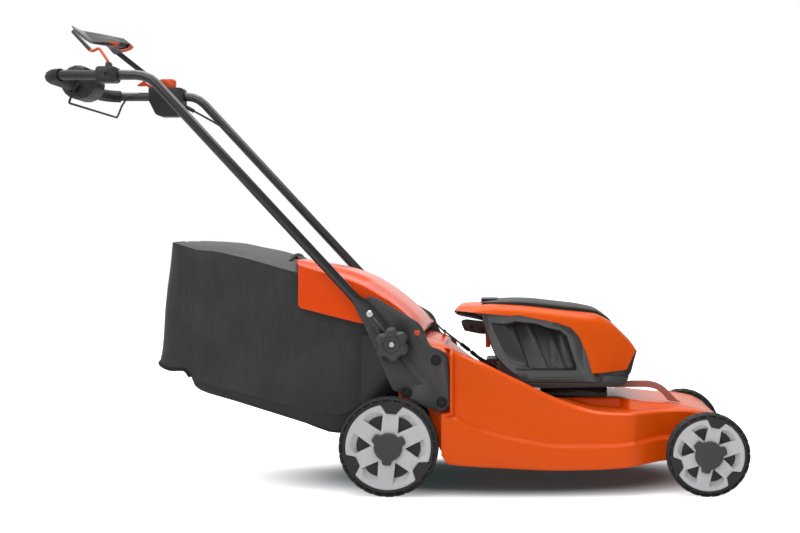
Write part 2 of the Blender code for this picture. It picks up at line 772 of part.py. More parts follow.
def deck_rows():
    rows = []
    for x in DECK_STATIONS:
        right = deck_half_section(x, -1)
        left = deck_half_section(x, 1)
        middle = (x, 0.0, right[0][2])
        rows.append([*reversed(right), middle, *left])
    lip = DECK_BOTTOM(DECK_FRONT)
    rows.append([(DECK_FRONT + 0.003, y, lip) for _, y, _ in rows[-1]])
    return rows


def deck_shell(parent):
    """The pressed steel deck: a skirt, a volute that rises to the rear and a dome."""
    bm, _ = sheet(deck_rows())
    deck = solid("deck_shell", bm, "deck_orange", parent, smooth=30)
    turn_outward(deck, (0.45, 0.0, 0.10))
    thicken(deck, DECK_WALL)
    ear_top = 0.236
    for side in (-1, 1):
        ear = hull_outline(circle(*REAR_CRANK, 0.016, 16)
                           + [(REAR_CRANK[0] - 0.020, ear_top), (REAR_CRANK[0] + 0.020, ear_top)])
        hole = circle(*REAR_CRANK, AXLE_TUBE_RADIUS + FIT_GAP, 14)
        combine(deck, plate(ear, side * EAR_INSIDE, side * EAR_OUTSIDE, [hole]), "UNION")
    tools = [turned([(0, 0.15), (SPINDLE_HOLE, 0.15), (SPINDLE_HOLE, 0.26), (0, 0.26)],
                    (SPINDLE_X, 0, 0), axis="Z", steps=24),
             rod((FRONT_CRANK[0], -0.26, FRONT_CRANK[1]), (FRONT_CRANK[0], 0.26, FRONT_CRANK[1]),
                 AXLE_TUBE_RADIUS + FIT_GAP, 14),
             block(0.10, 0.18, 0.2375, 0.2495, 0.169, 0.1985),
             block(0.59, 0.71, 0.2375, 0.2495, 0.156, 0.1860)]
    combine(deck, merged(*tools))
    return deck


def turn_outward(obj, inside):
    """Point an open sheet's faces away from a spot inside it."""
    here = Vector(inside) - Vector(obj.parent["place"])
    mesh = obj.data
    vote = sum(polygon.area * polygon.normal.dot(polygon.center - here) for polygon in mesh.polygons)
    if vote < 0:
        mesh.flip_normals()


CHUTE_LINE = [((0.193, 0.072), 0), ((0.166, 0.110), 0.03), ((0.128, 0.190), 0.03),
              ((0.085, 0.2235), 0.03), ((MOUTH_REAR + 0.0003, 0.2235), 0)]
CHEEK_LINE = [(MOUTH_REAR, 0.2230), (MOUTH_REAR, 0.3910), (0.0050, 0.3910), (0.0130, 0.2450),
              (-0.0080, 0.2450), (-0.0300, 0.2230)]


def discharge_chute(parent):
    """The sloping floor that lifts the clippings, with cheeks round the deck's rear end."""
    line = arc_path([((x, 0, z), r) for (x, z), r in CHUTE_LINE])
    half = TUNNEL_WIDTH / 2 - DECK_WALL - 0.0010
    section = [(-half, -0.00125), (half, -0.00125), (half, 0.00125), (-half, 0.00125)]
    chute = solid("discharge_chute", swept(line, section), "dark_plastic", parent)
    inside = TUNNEL_WIDTH / 2 + 0.0004
    for side in (-1, 1):
        cheek = plate(CHEEK_LINE, side * inside, side * (inside + CHEEK_WALL))
        combine(chute, cheek, "UNION")
        inner, outer = sorted((side * (half - 0.004), side * (inside + 0.001)))
        combine(chute, block(MOUTH_REAR, DECK_REAR - 0.0008, inner, outer, 0.2225, 0.3910), "UNION")


def blade_gear(frame, spindle):
    """The flat cutting blade with lifted tips, its adapter, its bolt and the motor."""
    bm = bmesh.new()
    rings = []
    half = BLADE_LENGTH / 2
    chord = BLADE_WIDTH / 2
    low = BLADE_HEIGHT
    thick = BLADE_THICKNESS
    for y, lead, trail, lift in ((-half, 0.80, 0.85, 0.016), (-0.74 * half, 1.0, 1.0, 0.015),
                                 (-0.62 * half, 1.0, 1.0, 0.001), (-0.2 * half, 0.85, 0.85, 0.0),
                                 (0.2 * half, 0.85, 0.85, 0.0), (0.62 * half, 1.0, 1.0, 0.001),
                                 (0.74 * half, 1.0, 1.0, 0.015), (half, 0.80, 0.85, 0.016)):
        turn = 1 if y < 0 else -1
        points = [(-lead, thick * 0.75), (-lead * 0.62, thick), (trail * 0.3, thick),
                  (trail, thick + lift), (trail, lift), (trail * 0.3, 0.0), (-lead * 0.62, 0.0),
                  (-lead, thick * 0.5)]
        ring = [(SPINDLE_X + turn * chord * u, y, low + v) for u, v in points]
        if turn < 0:
            ring = [ring[k] for k in (3, 2, 1, 0, 7, 6, 5, 4)]
        rings.append([bm.verts.new(p) for p in ring])
    skin(bm, rings)
    blade = solid("blade", bm, "blade_steel", spindle)
    bolt_hole = turned([(0, low - 0.02), (0.0056, low - 0.02), (0.0056, low + 0.02), (0, low + 0.02)],
                       (SPINDLE_X, 0, 0), axis="Z", steps=12)
    combine(blade, bolt_hole)
    top = low + thick + FIT_GAP
    adapter = [(0, 0.112), (0.0056, 0.112), (0.0056, top), (0.030, top), (0.030, top + 0.006),
               (0.017, top + 0.010), (0.017, 0.128), (0.0125, 0.132), (0.0125, 0.262), (0, 0.262)]
    solid("blade_adapter", turned(adapter, (SPINDLE_X, 0, 0), axis="Z", steps=14), "steel", spindle)
    head = low - FIT_GAP
    bolt = [(0, head - 0.011), (0.008, head - 0.011), (0.0095, head - 0.009), (0.0095, head - 0.003),
            (0.016, head - 0.003), (0.016, head), (0.005, head), (0.005, 0.108), (0, 0.108)]
    solid("blade_bolt", turned(bolt, (SPINDLE_X, 0, 0), axis="Z", steps=12), "steel", spindle)
    base = DOME_TOP + FIT_GAP
    shaft = 0.0125 + RUN_GAP
    motor = [(0, 0.265), (shaft, 0.265), (shaft, base), (MOTOR_RADIUS, base),
             (MOTOR_RADIUS, base + 0.008), (MOTOR_RADIUS - 0.006, base + 0.011),
             (MOTOR_RADIUS - 0.006, base + MOTOR_HEIGHT - 0.006),
             (MOTOR_RADIUS - 0.012, base + MOTOR_HEIGHT), (0, base + MOTOR_HEIGHT)]
    solid("blade_motor", turned(motor, (SPINDLE_X, 0, 0), axis="Z", steps=20), "black_steel", frame)


BRACKET_INSIDE = BRACKET_OUTSIDE - BRACKET_THICKNESS
BOSS_INSIDE = 0.2195
BRACKET_LINE = [(-0.0877, 0.4730, 0.006), (-0.0506, 0.4903, 0.010), (-0.0383, 0.4879, 0.006),
                (0.0784, 0.4171, 0.016), (0.1039, 0.3632, 0.020), (0.1447, 0.3444, 0.004),
                (0.1460, 0.2159, 0.006), (0.1324, 0.2060, 0.006), (0.0854, 0.2171, 0.020),
                (0.0334, 0.2436, 0.010), (0.0062, 0.2569, 0.008)]
BRACKET_BOLTS = [(0.1146, 0.3308), (0.0416, 0.2500), (0.1289, 0.2262)]
SLOT_START = -36.5
SLOT_END = -92.0
TAB_INSIDE = 0.2450
TAB_OUTSIDE = TAB_INSIDE + TAB_THICKNESS


def handle_bracket(label, side, parent):
    """The side plate that holds the handle's pivot and the knob's arc slot."""
    bolt_hole = BOLT_RADIUS + FIT_GAP
    holes = [circle(*HANDLE_PIVOT, bolt_hole, 10), circle(*FLAP_PIN, FLAP_PIN_RADIUS + FIT_GAP, 10)]
    shape = plate(rounded(BRACKET_LINE, 3), side * BRACKET_INSIDE, side * BRACKET_OUTSIDE, holes)
    body = solid(label, shape, "dark_plastic", parent)
    bosses = [rod((x, side * BOSS_INSIDE, z), (x, side * (BRACKET_INSIDE + 0.001), z), 0.010, 10)
              for x, z in BRACKET_BOLTS]
    combine(body, merged(*bosses), "UNION")
    half = BOLT_RADIUS + 0.001
    px, pz = HANDLE_PIVOT
    steps = 7
    outer = []
    inner = []
    for k in range(steps + 1):
        angle = SLOT_START + (SLOT_END - SLOT_START) * k / steps
        ux, uz = polar(KNOB_DISTANCE + half, angle)
        outer.append((px + ux, pz + uz))
        ux, uz = polar(KNOB_DISTANCE - half, angle)
        inner.append((px + ux, pz + uz))
    slot = plate(outer + inner[::-1], side * 0.228, side * 0.249)
    start = Vector(KNOB)
    end = Vector((0.084, 0.269))
    across = (end - start).normalized().orthogonal() * 0.011
    tip = (end - start).normalized() * 0.008
    channel = [tuple(start + across), tuple(start - across), tuple(end - across),
               tuple(end - across * 0.5 + tip), tuple(end + across * 0.5 + tip), tuple(end + across)]
    recess = plate(channel, side * (BRACKET_OUTSIDE - 0.003), side * (BRACKET_OUTSIDE + 0.003))
    combine(body, slot)
    combine(body, recess)


def lobed(rings, lobes, centre, count):
    """A solid knob from (radius, y, lobe depth) rings round an axis along Y."""
    bm = bmesh.new()
    loops = []
    for radius, y, depth in rings:
        loop = []
        for k in range(count):
            angle = KNOB_TURN + 2 * math.pi * k / count
            reach = radius + depth * (math.cos(lobes * (angle - KNOB_TURN)) - 1) / 2
            loop.append(bm.verts.new((centre[0] + reach * math.cos(angle), y,
                                      centre[1] + reach * math.sin(angle))))
        loops.append(loop)
    skin(bm, loops)
    return bm


def handle_fixings(label, side, parent, knob_axis):
    """The pivot bolt and the six-lobed clamp knob with its stud."""
    inner_face = BRACKET_INSIDE - FIT_GAP
    hole_gap = FIT_GAP
    bolt = [(0, inner_face - 0.0045), (0.0075, inner_face - 0.0045), (0.0075, inner_face),
            (BOLT_RADIUS, inner_face), (BOLT_RADIUS, TAB_OUTSIDE + hole_gap),
            (0.009, TAB_OUTSIDE + hole_gap), (0.009, TAB_OUTSIDE + 0.0028),
            (0.007, TAB_OUTSIDE + 0.0040), (0, TAB_OUTSIDE + 0.0040)]
    bolt = [(r, side * y) for r, y in bolt]
    solid("pivot_bolt_" + label, turned(bolt, (HANDLE_PIVOT[0], 0, HANDLE_PIVOT[1]), steps=10),
          "steel", parent)
    rings = [(0.030, side * 0.2580, 0.004), (KNOB_RADIUS, side * 0.2620, 0.011),
             (KNOB_RADIUS, side * 0.2860, 0.011), (0.034, side * 0.2915, 0.008)]
    knob = solid("handle_knob_" + label, lobed(rings, 6, KNOB, 18), "dark_plastic", knob_axis)
    stud = [(0, inner_face - 0.0045), (0.0075, inner_face - 0.0045), (0.0075, inner_face),
            (BOLT_RADIUS, inner_face), (BOLT_RADIUS, 0.2600), (0, 0.2600)]
    stud = [(r, side * y) for r, y in stud]
    combine(knob, turned(stud, (KNOB[0], 0, KNOB[1]), steps=8), "UNION")


GRIP_END_X = -0.812
CORNER_RADIUS = 0.060
STOP_PIVOT = (-0.7775, 1.0330)
STOP_FOOT = (-0.8084, 0.9723)
STOP_HALF = 0.206
TAB_END = 0.1136
BAIL_AXIS = (-0.6925, 1.0625)
BOX_INSIDE = 0.2345
BOX_OUTSIDE = 0.2805


def handle_line(side):
    """The centre line of one leg, from the flattened tab to the middle of the bar."""
    px, pz = HANDLE_PIVOT
    knob_way = (Vector(KNOB) - Vector(HANDLE_PIVOT)).normalized()
    tip = Vector(HANDLE_PIVOT) + knob_way * TAB_END
    up = Vector((math.cos(HANDLE_SLOPE), math.sin(HANDLE_SLOPE)))
    tab_y = side * (TAB_INSIDE + TAB_THICKNESS / 2)
    leg_y = side * HANDLE_Y
    flat_end = Vector(HANDLE_PIVOT) + up * 0.030
    round_start = Vector(HANDLE_PIVOT) + up * 0.062
    points = [(tip.x, tab_y, tip.y), (px, tab_y, pz), (flat_end.x, tab_y, flat_end.y),
              (round_start.x, leg_y, round_start.y)]
    bend = arc_path([((round_start.x, leg_y, round_start.y), 0),
                     ((HANDLE_BEND[0], leg_y, HANDLE_BEND[1]), 0.07),
                     ((GRIP_REAR, leg_y, HANDLE_TOP), CORNER_RADIUS),
                     ((GRIP_REAR, 0, HANDLE_TOP), 0)], math.radians(19))
    return points, bend


def handle_tube(parent):
    tab, bend = handle_line(-1)
    other_tab, other_bend = handle_line(1)
    points = tab + bend[1:-1] + other_bend[-2:0:-1] + other_tab[::-1]
    flat = (TAB_THICKNESS / 2 / TUBE_RADIUS, 1.25)
    scales = [flat] * 3 + [(1.0, 1.0)] * (len(points) - 6) + [flat] * 3
    tube = solid("handle_tube", swept(points, circle(0, 0, TUBE_RADIUS, 10), scales),
                 "black_steel", parent)
    hole = bore_radius(BOLT_RADIUS, 8)
    wire = bore_radius(STOP_BAIL_RADIUS, 8)
    tools = []
    for side in (-1, 1):
        tools.append(rod((HANDLE_PIVOT[0], side * 0.240, HANDLE_PIVOT[1]),
                         (HANDLE_PIVOT[0], side * 0.260, HANDLE_PIVOT[1]), hole, 8))
        tools.append(rod((KNOB[0], side * 0.240, KNOB[1]), (KNOB[0], side * 0.260, KNOB[1]), hole, 8))
        tools.append(rod((STOP_PIVOT[0], side * 0.240, STOP_PIVOT[1]),
                         (STOP_PIVOT[0], side * 0.2555, STOP_PIVOT[1]), wire, 8))
    combine(tube, merged(*tools))


def swept_sleeve(points, outer, inner, steps):
    """A hollow sleeve along a path."""
    points = [Vector(p) for p in points]
    rings = []
    for radius in (outer, inner):
        shape = swept(points, circle(0, 0, radius, steps))
        rings.append([v.co.copy() for v in shape.verts])
        shape.free()
    bm = bmesh.new()
    loops = []
    for cloud in rings:
        verts = [bm.verts.new(co) for co in cloud]
        loops.append([verts[k:k + steps] for k in range(0, len(verts), steps)])
    outside, inside = loops
    skin(bm, outside + inside[::-1] + [outside[0]], caps=False)
    return bm


def grip_sleeve(parent):
    line = []
    _, right = handle_line(-1)
    _, left = handle_line(1)
    for a, b in zip(right, right[1:]):
        if b.x < GRIP_END_X:
            line.append(a if line else a.lerp(b, (a.x - GRIP_END_X) / (a.x - b.x)))
    rest = []
    for a, b in zip(left, left[1:]):
        if b.x < GRIP_END_X:
            rest.append(a if rest else a.lerp(b, (a.x - GRIP_END_X) / (a.x - b.x)))
    line += rest[::-1]
    solid("grip_sleeve", swept_sleeve(line, GRIP_RADIUS, TUBE_RADIUS + FIT_GAP, 10),
          "soft_rubber", parent)


def control_pod(parent):
    """The drum in the middle of the grip."""
    face = POD_RADIUS - 0.007
    profile = [(0, -0.050), (face, -0.050), (POD_RADIUS, -0.043), (POD_RADIUS, 0.043), (face, 0.050),
               (0, 0.050)]
    pod = solid("control_pod", turned(profile, (POD[0], 0, POD[1]), steps=18), "dark_plastic", parent)
    combine(pod, rod((GRIP_REAR, -0.06, HANDLE_TOP), (GRIP_REAR, 0.06, HANDLE_TOP),
                     bore_radius(GRIP_RADIUS, 12), 12))


def rod_clamp(parent):
    """The clamp on the right-hand tube that carries the drive bail's eye."""
    x, z = BAIL_AXIS
    outline = rounded([(-0.720, 1.0166, 0.008), (-0.668, 1.0166, 0.008),
                       (-0.668, 1.0556, 0.008), (-0.720, 1.0556, 0.008)], 2)
    clamp = solid("rod_clamp", plate(outline, -HANDLE_Y - 0.0195, -HANDLE_Y + 0.0175),
                  "dark_plastic", parent)
    ears = []
    for y in (-HANDLE_Y - 0.0075, -HANDLE_Y + 0.0040):
        ear = [(x - 0.007, 1.0546), (x + 0.007, 1.0546), (x + 0.0065, z + 0.002), (x + 0.003, z + 0.0055),
               (x - 0.003, z + 0.0055), (x - 0.0065, z + 0.002)]
        ears.append(plate(ear, y, y + 0.0035))
    ears.append(rod((x, -HANDLE_Y - 0.0055, z), (x, -HANDLE_Y + 0.0055, z), 0.0025, 8))
    for shape in ears:
        combine(clamp, shape, "UNION")
    combine(clamp, rod((-0.73, -HANDLE_Y, HANDLE_TOP), (-0.66, -HANDLE_Y, HANDLE_TOP),
                       bore_radius(TUBE_RADIUS, 12), 12))


BAIL_LINE = [(-0.6925, -0.2575, 1.0662), (-0.6980, -0.2575, 1.0740), (-0.7085, -0.2450, 1.0880),
             (-0.7181, -0.2370, 1.0995), (-0.7242, -0.2320, 1.1048), (-0.7330, -0.2270, 1.1020),
             (-0.7436, -0.2220, 1.0990),
             (-0.7519, -0.2170, 1.1045)]
SLEEVE_LINE = [(-0.7519, -0.2170, 1.1045), (-0.8085, -0.1680, 1.1553)]
SLEEVE_RADIUS = 0.0050
PADDLE_SECTIONS = [
    (0.0, [(-0.812, 1.1695), (-0.767, 1.1700), (-0.730, 1.1640), (-0.7080, 1.1465),
           (-0.7150, 1.1364), (-0.738, 1.1322), (-0.776, 1.1505), (-0.810, 1.1635)]),
    (0.05, [(-0.813, 1.1700), (-0.775, 1.1690), (-0.745, 1.1620), (-0.7250, 1.1470),
            (-0.7320, 1.1385), (-0.748, 1.1345), (-0.780, 1.1490), (-0.811, 1.1640)]),
    (0.10, [(-0.8145, 1.1710), (-0.801, 1.1660), (-0.790, 1.1520), (-0.7790, 1.1400),
            (-0.7817, 1.1355), (-0.7875, 1.1372), (-0.798, 1.1500), (-0.811, 1.1640)]),
    (0.13, [(-0.815, 1.1720), (-0.805, 1.1665), (-0.796, 1.1560), (-0.7865, 1.1450),
            (-0.7885, 1.1405), (-0.7935, 1.1420), (-0.802, 1.1535), (-0.812, 1.1655)]),
    (0.164, [(-0.8154, 1.1735), (-0.810, 1.1705), (-0.804, 1.1650), (-0.7980, 1.1590),
             (-0.7990, 1.1550), (-0.8045, 1.1560), (-0.8095, 1.1615), (-0.8130, 1.1680)])]


def drive_bail(parent):
    """The bent rod that carries the drive paddle on the right-hand side."""
    x, z = BAIL_AXIS
    start, end = Vector(SLEEVE_LINE[0]), Vector(SLEEVE_LINE[1])
    line = [*BAIL_LINE, start.lerp(end, 0.85)]
    bail = solid("drive_bail", swept(line, circle(0, 0, BAIL_RADIUS, 8)), "part_orange", parent)
    eye = turned([(0.0028, -0.003), (0.0058, -0.003), (0.0058, 0.003), (0.0028, 0.003)],
                 (x, -HANDLE_Y, z), steps=12, close=True)
    combine(bail, eye, "UNION")


def drive_paddle(parent):
    """The wing the hands push down, with its sleeve and its left-hand arm."""
    bm = bmesh.new()
    sections = [(-y, s) for y, s in PADDLE_SECTIONS[:0:-1]] + PADDLE_SECTIONS
    rings = [[bm.verts.new((x, y, z)) for x, z in section] for y, section in sections]
    skin(bm, rings)
    wing = solid("drive_paddle", bm, "dark_plastic", parent)
    start, end = Vector(SLEEVE_LINE[0]), Vector(SLEEVE_LINE[1])
    combine(wing, rod(start, end + (end - start) * 0.03, SLEEVE_RADIUS, 10), "UNION")
    combine(wing, rod(start - (end - start) * 0.1, start.lerp(end, 0.88), BAIL_RADIUS + FIT_GAP, 10))
    x, z = BAIL_AXIS
    arm = swept([(-0.806, 0.158, 1.1590), (-0.775, 0.180, 1.1320), (-0.715, 0.2300, 1.0800),
                 (x - 0.004, 0.2310, z + 0.004)],
                [(-0.0025, -0.007), (0.0025, -0.007), (0.0025, 0.007), (-0.0025, 0.007)])
    combine(wing, arm, "UNION")
    eye = turned([(0, 0.2280), (0.010, 0.2280), (0.010, 0.2335), (0, 0.2335)], (x, 0, z), steps=12)
    combine(wing, eye, "UNION")
    combine(wing, rod((x, 0.22, z), (x, 0.24, z), 0.0038, 10))


def stop_bail(parent):
    """The thin wire bail below the handle; letting it go stops the blade."""
    px, pz = STOP_PIVOT
    fx, fz = STOP_FOOT
    corners = [((px, -0.2545, pz), 0), ((px, -STOP_HALF, pz), 0.006),
               ((-0.7956, -STOP_HALF, 1.0046), 0), ((fx, -STOP_HALF, fz), 0.008),
               ((fx, STOP_HALF, fz), 0.008), ((-0.7956, STOP_HALF, 1.0046), 0),
               ((px, STOP_HALF, pz), 0.006), ((px, 0.2545, pz), 0)]
    line = arc_path(corners, math.radians(30))
    solid("stop_bail", swept(line, circle(0, 0, STOP_BAIL_RADIUS, 6)), "black_steel", parent)


def control_box(parent, button_axis, lever_axis):
    """The switch box on the left-hand tube, its button and its speed lever."""
    outline = rounded([(-0.7286, 1.0603, 0.004), (-0.7286, 1.0245, 0.006), (-0.7090, 0.9853, 0.010),
                       (-0.6960, 0.9790, 0.006), (-0.6450, 0.9790, 0.014), (-0.6308, 1.0000, 0.010),
                       (-0.6308, 1.0603, 0.008)], 2)
    box = solid("control_box", plate(outline, BOX_INSIDE, BOX_OUTSIDE), "dark_plastic", parent)
    x, z = BAIL_AXIS
    ear = hull_outline(circle(x, z, 0.008, 12) + [(x - 0.010, 1.050), (x + 0.010, 1.050)])
    combine(box, plate(ear, BOX_INSIDE, BOX_INSIDE + 0.006), "UNION")
    combine(box, rod((x, BOX_INSIDE + 0.001, z), (x, 0.2262, z), 0.0035, 10), "UNION")
    combine(box, rod((-0.74, HANDLE_Y, HANDLE_TOP), (-0.62, HANDLE_Y, HANDLE_TOP),
                     bore_radius(TUBE_RADIUS, 12), 12))
    combine(box, merged(block(-0.6993, -0.6587, 0.2447, 0.2733, 1.0520, 1.07),
                        block(-0.735, -0.7052, 0.2512, 0.2638, 1.0510, 1.07)))
    button = plate(rounded([(-0.6990, 1.0575, 0), (-0.6590, 1.0575, 0), (-0.6590, 1.0855, 0.005),
                            (-0.6990, 1.0855, 0.005)], 2), 0.2450, 0.2730)
    solid("start_button", button, "part_orange", button_axis)
    lx, lz = LEVER_AXIS
    bar = [(-0.7120, 1.0580), (-0.7480, 1.0810), (-0.7644, 1.0700), (-0.7644, 1.0660),
           (-0.7400, 1.0670), (-0.7230, 1.0545)]
    lever = solid("speed_lever", plate(bar, 0.2520, 0.2630), "part_orange", lever_axis)
    combine(lever, rod((lx, 0.2520, lz), (lx, 0.2630, lz), 0.0045, 10), "UNION")


LEVER_AXIS = (-0.7145, 1.0562)


BOX_EXIT = (-0.6274, 1.0070)


def handle_cables(upper, lower):
    """The control cable, in two lengths that meet at the handle's pivot."""
    slope = Vector((math.cos(HANDLE_SLOPE), math.sin(HANDLE_SLOPE)))
    pivot = Vector(HANDLE_PIVOT)
    stations = [0.66, 0.52, 0.40, 0.28, 0.19]
    run = [BOX_EXIT[:1] + (HANDLE_Y - 0.004,) + BOX_EXIT[1:], (-0.598, HANDLE_Y - 0.006, 0.9918)]
    side_y = HANDLE_Y - TUBE_RADIUS - CABLE_RADIUS - 0.0012
    for along in stations:
        spot = pivot + slope * along
        run.append((spot.x, side_y, spot.y))
    for along, y in ((0.120, 0.2290), (0.060, 0.2285), (0.014, 0.2285)):
        spot = pivot + slope * along
        run.append((spot.x, y, spot.y))
    path = smooth_path(run, 0.030)
    cable = solid("handle_cable", swept(path, circle(0, 0, CABLE_RADIUS, 6)), "soft_rubber", upper)
    combine(cable, rod(run[0], Vector(run[0]).lerp(Vector(run[1]), 0.8), 0.0055, 8), "UNION")
    run = [(-0.0496, 0.2214, 0.4460), (-0.0385, 0.2205, 0.4330), (-0.0200, 0.2205, 0.4240),
           (0.0250, 0.2210, 0.4190), (0.0680, 0.2208, 0.4078), (0.0940, 0.2190, 0.3890),
           (0.1040, 0.1950, 0.3830), (0.1120, 0.1500, 0.3810), (0.1167, 0.1000, 0.3805),
           (0.1300, 0.0660, 0.3690), (0.1596, 0.0500, 0.3480), (0.1950, 0.0500, 0.3225),
           (0.2300, 0.0500, 0.3010), (0.2560, 0.0500, 0.2960), (0.2845, 0.0500, 0.2960)]
    path = smooth_path(run, 0.028)
    cable = solid("deck_cable", swept(path, circle(0, 0, CABLE_RADIUS, 6)), "soft_rubber", lower)
    sleeve = rod((0.1700, 0.0500, 0.3400), (0.2240, 0.0500, 0.3045), 0.0055, 8)
    combine(cable, sleeve, "UNION")
    combine(cable, rod((0.1175, 0.0960, 0.3820), (0.1175, 0.0960, 0.3600), 0.0030, 8), "UNION")


HOUSING_LINE = [(0.1600, 0.4460), (0.1740, 0.4690), (0.2100, 0.4720), (0.2720, 0.4680), (0.3850, 0.4590),
                (0.4840, 0.4480), (0.5310, 0.4360), (0.5640, 0.4080), (0.6020, 0.3740), (0.6221, 0.3443),
                (0.6074, 0.2896), (0.5897, 0.2679), (0.5466, 0.2608), (0.3350, 0.2608), (0.2950, 0.2900),
                (0.2632, 0.3251), (0.2369, 0.3858), (0.2277, 0.4223), (0.2250, 0.4340)]
HOUSING_CORE = [(0.2300, 0.4707), *HOUSING_LINE[3:18]]
SPLIT_LINE = [(0.130, 0.4490), (0.1657, 0.4475), (0.2956, 0.4365), (0.3204, 0.4382), (0.3700, 0.4276),
              (0.4163, 0.4187), (0.4517, 0.4063), (0.4732, 0.3815), (0.4910, 0.3390), (0.5049, 0.2901),
              (0.5937, 0.2972), (0.6400, 0.3860)]
HOUSING_STATIONS = (0.1665, 0.1740, 0.1950, 0.2251, 0.2277, 0.2369, 0.2500, 0.2632, 0.2790, 0.2950,
                    0.3150, 0.3350, 0.3850, 0.4350, 0.4840, 0.5080, 0.5310, 0.5466, 0.5640, 0.5790,
                    0.5897, 0.6020, 0.6074, 0.6150)
HOUSING_NARROW = blend_curve([(0.15, 0.90), (0.24, 1.0), (0.50, 1.0), (0.565, 0.90), (0.6221, 0.72)])


def inset(outline, distance):
    """A closed outline moved inward by an even distance."""
    if distance == 0:
        return list(outline)
    area = sum(a[0] * b[1] - b[0] * a[1] for a, b in zip(outline, outline[1:] + outline[:1]))
    turn = 1 if area > 0 else -1
    out = []
    count = len(outline)
    for i in range(count):
        here = Vector(outline[i])
        back = (here - Vector(outline[i - 1])).normalized()
        ahead = (Vector(outline[(i + 1) % count]) - here).normalized()
        first = Vector((-back.y, back.x)) * turn
        second = Vector((-ahead.y, ahead.x)) * turn
        way = (first + second).normalized()
        out.append(tuple(here + way * distance / max(0.5, way.dot(first))))
    return out


def heights_at(outline, x):
    """The lowest and highest point of a closed outline above x."""
    found = []
    for (x0, z0), (x1, z1) in zip(outline, outline[1:] + outline[:1]):
        if min(x0, x1) <= x <= max(x0, x1) and x0 != x1:
            found.append(z0 + (z1 - z0) * (x - x0) / (x1 - x0))
    return min(found), max(found)


def housing_form(wall=0.0):
    """The whole housing as a solid, or the space a wall's thickness inside it."""
    line = inset(HOUSING_CORE if wall else HOUSING_LINE, wall)
    first = min(x for x, _ in line) + 0.0012
    last = max(x for x, _ in line) - 0.0008
    inner = [x for x in HOUSING_STATIONS if first + 0.003 < x < last - 0.003]
    half = HOUSING_HALF_WIDTH - wall
    rows = []
    for x in [first, *inner, last]:
        low, high = heights_at(line, x)
        trim = min(1.0, (high - low) / 0.030)
        side = [(half - 0.016, 0.0), (half - 0.006, 0.003 * trim), (half, 0.009 * trim)]
        rim = [(y, high - drop) for y, drop in side] + [(y, low + drop) for y, drop in side[::-1]]
        rim += [(-y, z) for y, z in rim[::-1]]
        rows.append([(x, y * HOUSING_NARROW(x), z) for y, z in rim])
    bm = bmesh.new()
    skin(bm, [[bm.verts.new(p) for p in row] for row in rows])
    bmesh.ops.triangulate(bm, faces=[f for f in bm.faces if len(f.verts) > 4])
    return bm


def top_line(x):
    """The height of the housing's upper outline."""
    line = HOUSING_LINE[1:10]
    for (x0, z0), (x1, z1) in zip(line, line[1:]):
        if x <= x1:
            return z0 + (z1 - z0) * (x - x0) / (x1 - x0)
    return line[-1][1]


def battery_housing(parent, lid_axis):
    """The lower body with its bays, the upper shell and the lid."""
    above = SPLIT_LINE + [(0.66, 0.386), (0.66, 0.52), (0.130, 0.52)]
    base = solid("housing_base", housing_form(), "dark_plastic", parent)
    combine(base, plate(above, -0.19, 0.19))
    neck = slab(rounded([(NECK_REAR, -0.105, 0.02), (NECK_FRONT, -0.105, 0.02),
                         (NECK_FRONT, 0.105, 0.02), (NECK_REAR, 0.105, 0.02)], 2),
                DOME_TOP + FIT_GAP, 0.2650)
    combine(base, neck, "UNION")
    bay_half = PACK_WIDTH + PACK_GAP / 2 + 0.0015
    pockets = [block(PACK_REAR - 0.0015, PACK_REAR + PACK_LENGTH + 0.0015, -bay_half, bay_half,
                     BAY_FLOOR, 0.50),
               block(0.4560, 0.5300, -0.060, 0.060, 0.3000, 0.50),
               turned([(0, 0.22), (MOTOR_RADIUS + 0.004, 0.22), (MOTOR_RADIUS + 0.004, 0.290), (0, 0.290)],
                      (SPINDLE_X, 0, 0), axis="Z", steps=24),
               rod((0.25, 0.05, 0.2960), (0.30, 0.05, 0.2960), CABLE_RADIUS + FIT_GAP, 8)]
    for pocket in pockets:
        combine(base, pocket)
    hood = solid("hood", housing_form(), "flap_orange", parent)
    gap = 0.0005
    below = [(x, z + gap) for x, z in SPLIT_LINE] + [(0.66, 0.386), (0.66, 0.20), (0.130, 0.20)]
    combine(hood, plate(below, -0.19, 0.19))
    combine(hood, housing_form(HOUSING_WALL))
    combine(hood, block(0.2780, 0.5280, -0.100, 0.100, 0.40, 0.50))
    for label, side in (("right", -1), ("left", 1)):
        near = side * PACK_GAP / 2
        far = side * (PACK_WIDTH + PACK_GAP / 2)
        pack = block(PACK_REAR, PACK_REAR + PACK_LENGTH, min(near, far), max(near, far),
                     BAY_FLOOR + FIT_GAP, BAY_FLOOR + PACK_HEIGHT)
        bevel(solid("battery_" + label, pack, "grey_plastic", parent), 0.004)
    solid("motor_controller", block(0.4600, 0.5260, -0.056, 0.056, 0.3003, 0.3330), "steel", parent)
    solid("battery_lid", lid_shape(), "grey_plastic", lid_axis)


PACK_REAR = 0.293
LID_STATIONS = [(0.2190, 0.020, 0.0030), (0.2280, 0.090, 0.0036), (0.2480, 0.114, 0.0042),
                (0.2720, 0.121, 0.0055), (0.3300, 0.124, 0.0092), (0.3850, 0.124, 0.0118),
                (0.4350, 0.122, 0.0125), (0.4840, 0.117, 0.0125), (0.5310, 0.105, 0.0100),
                (0.5500, 0.092, 0.0065), (0.5620, 0.070, 0.0040)]


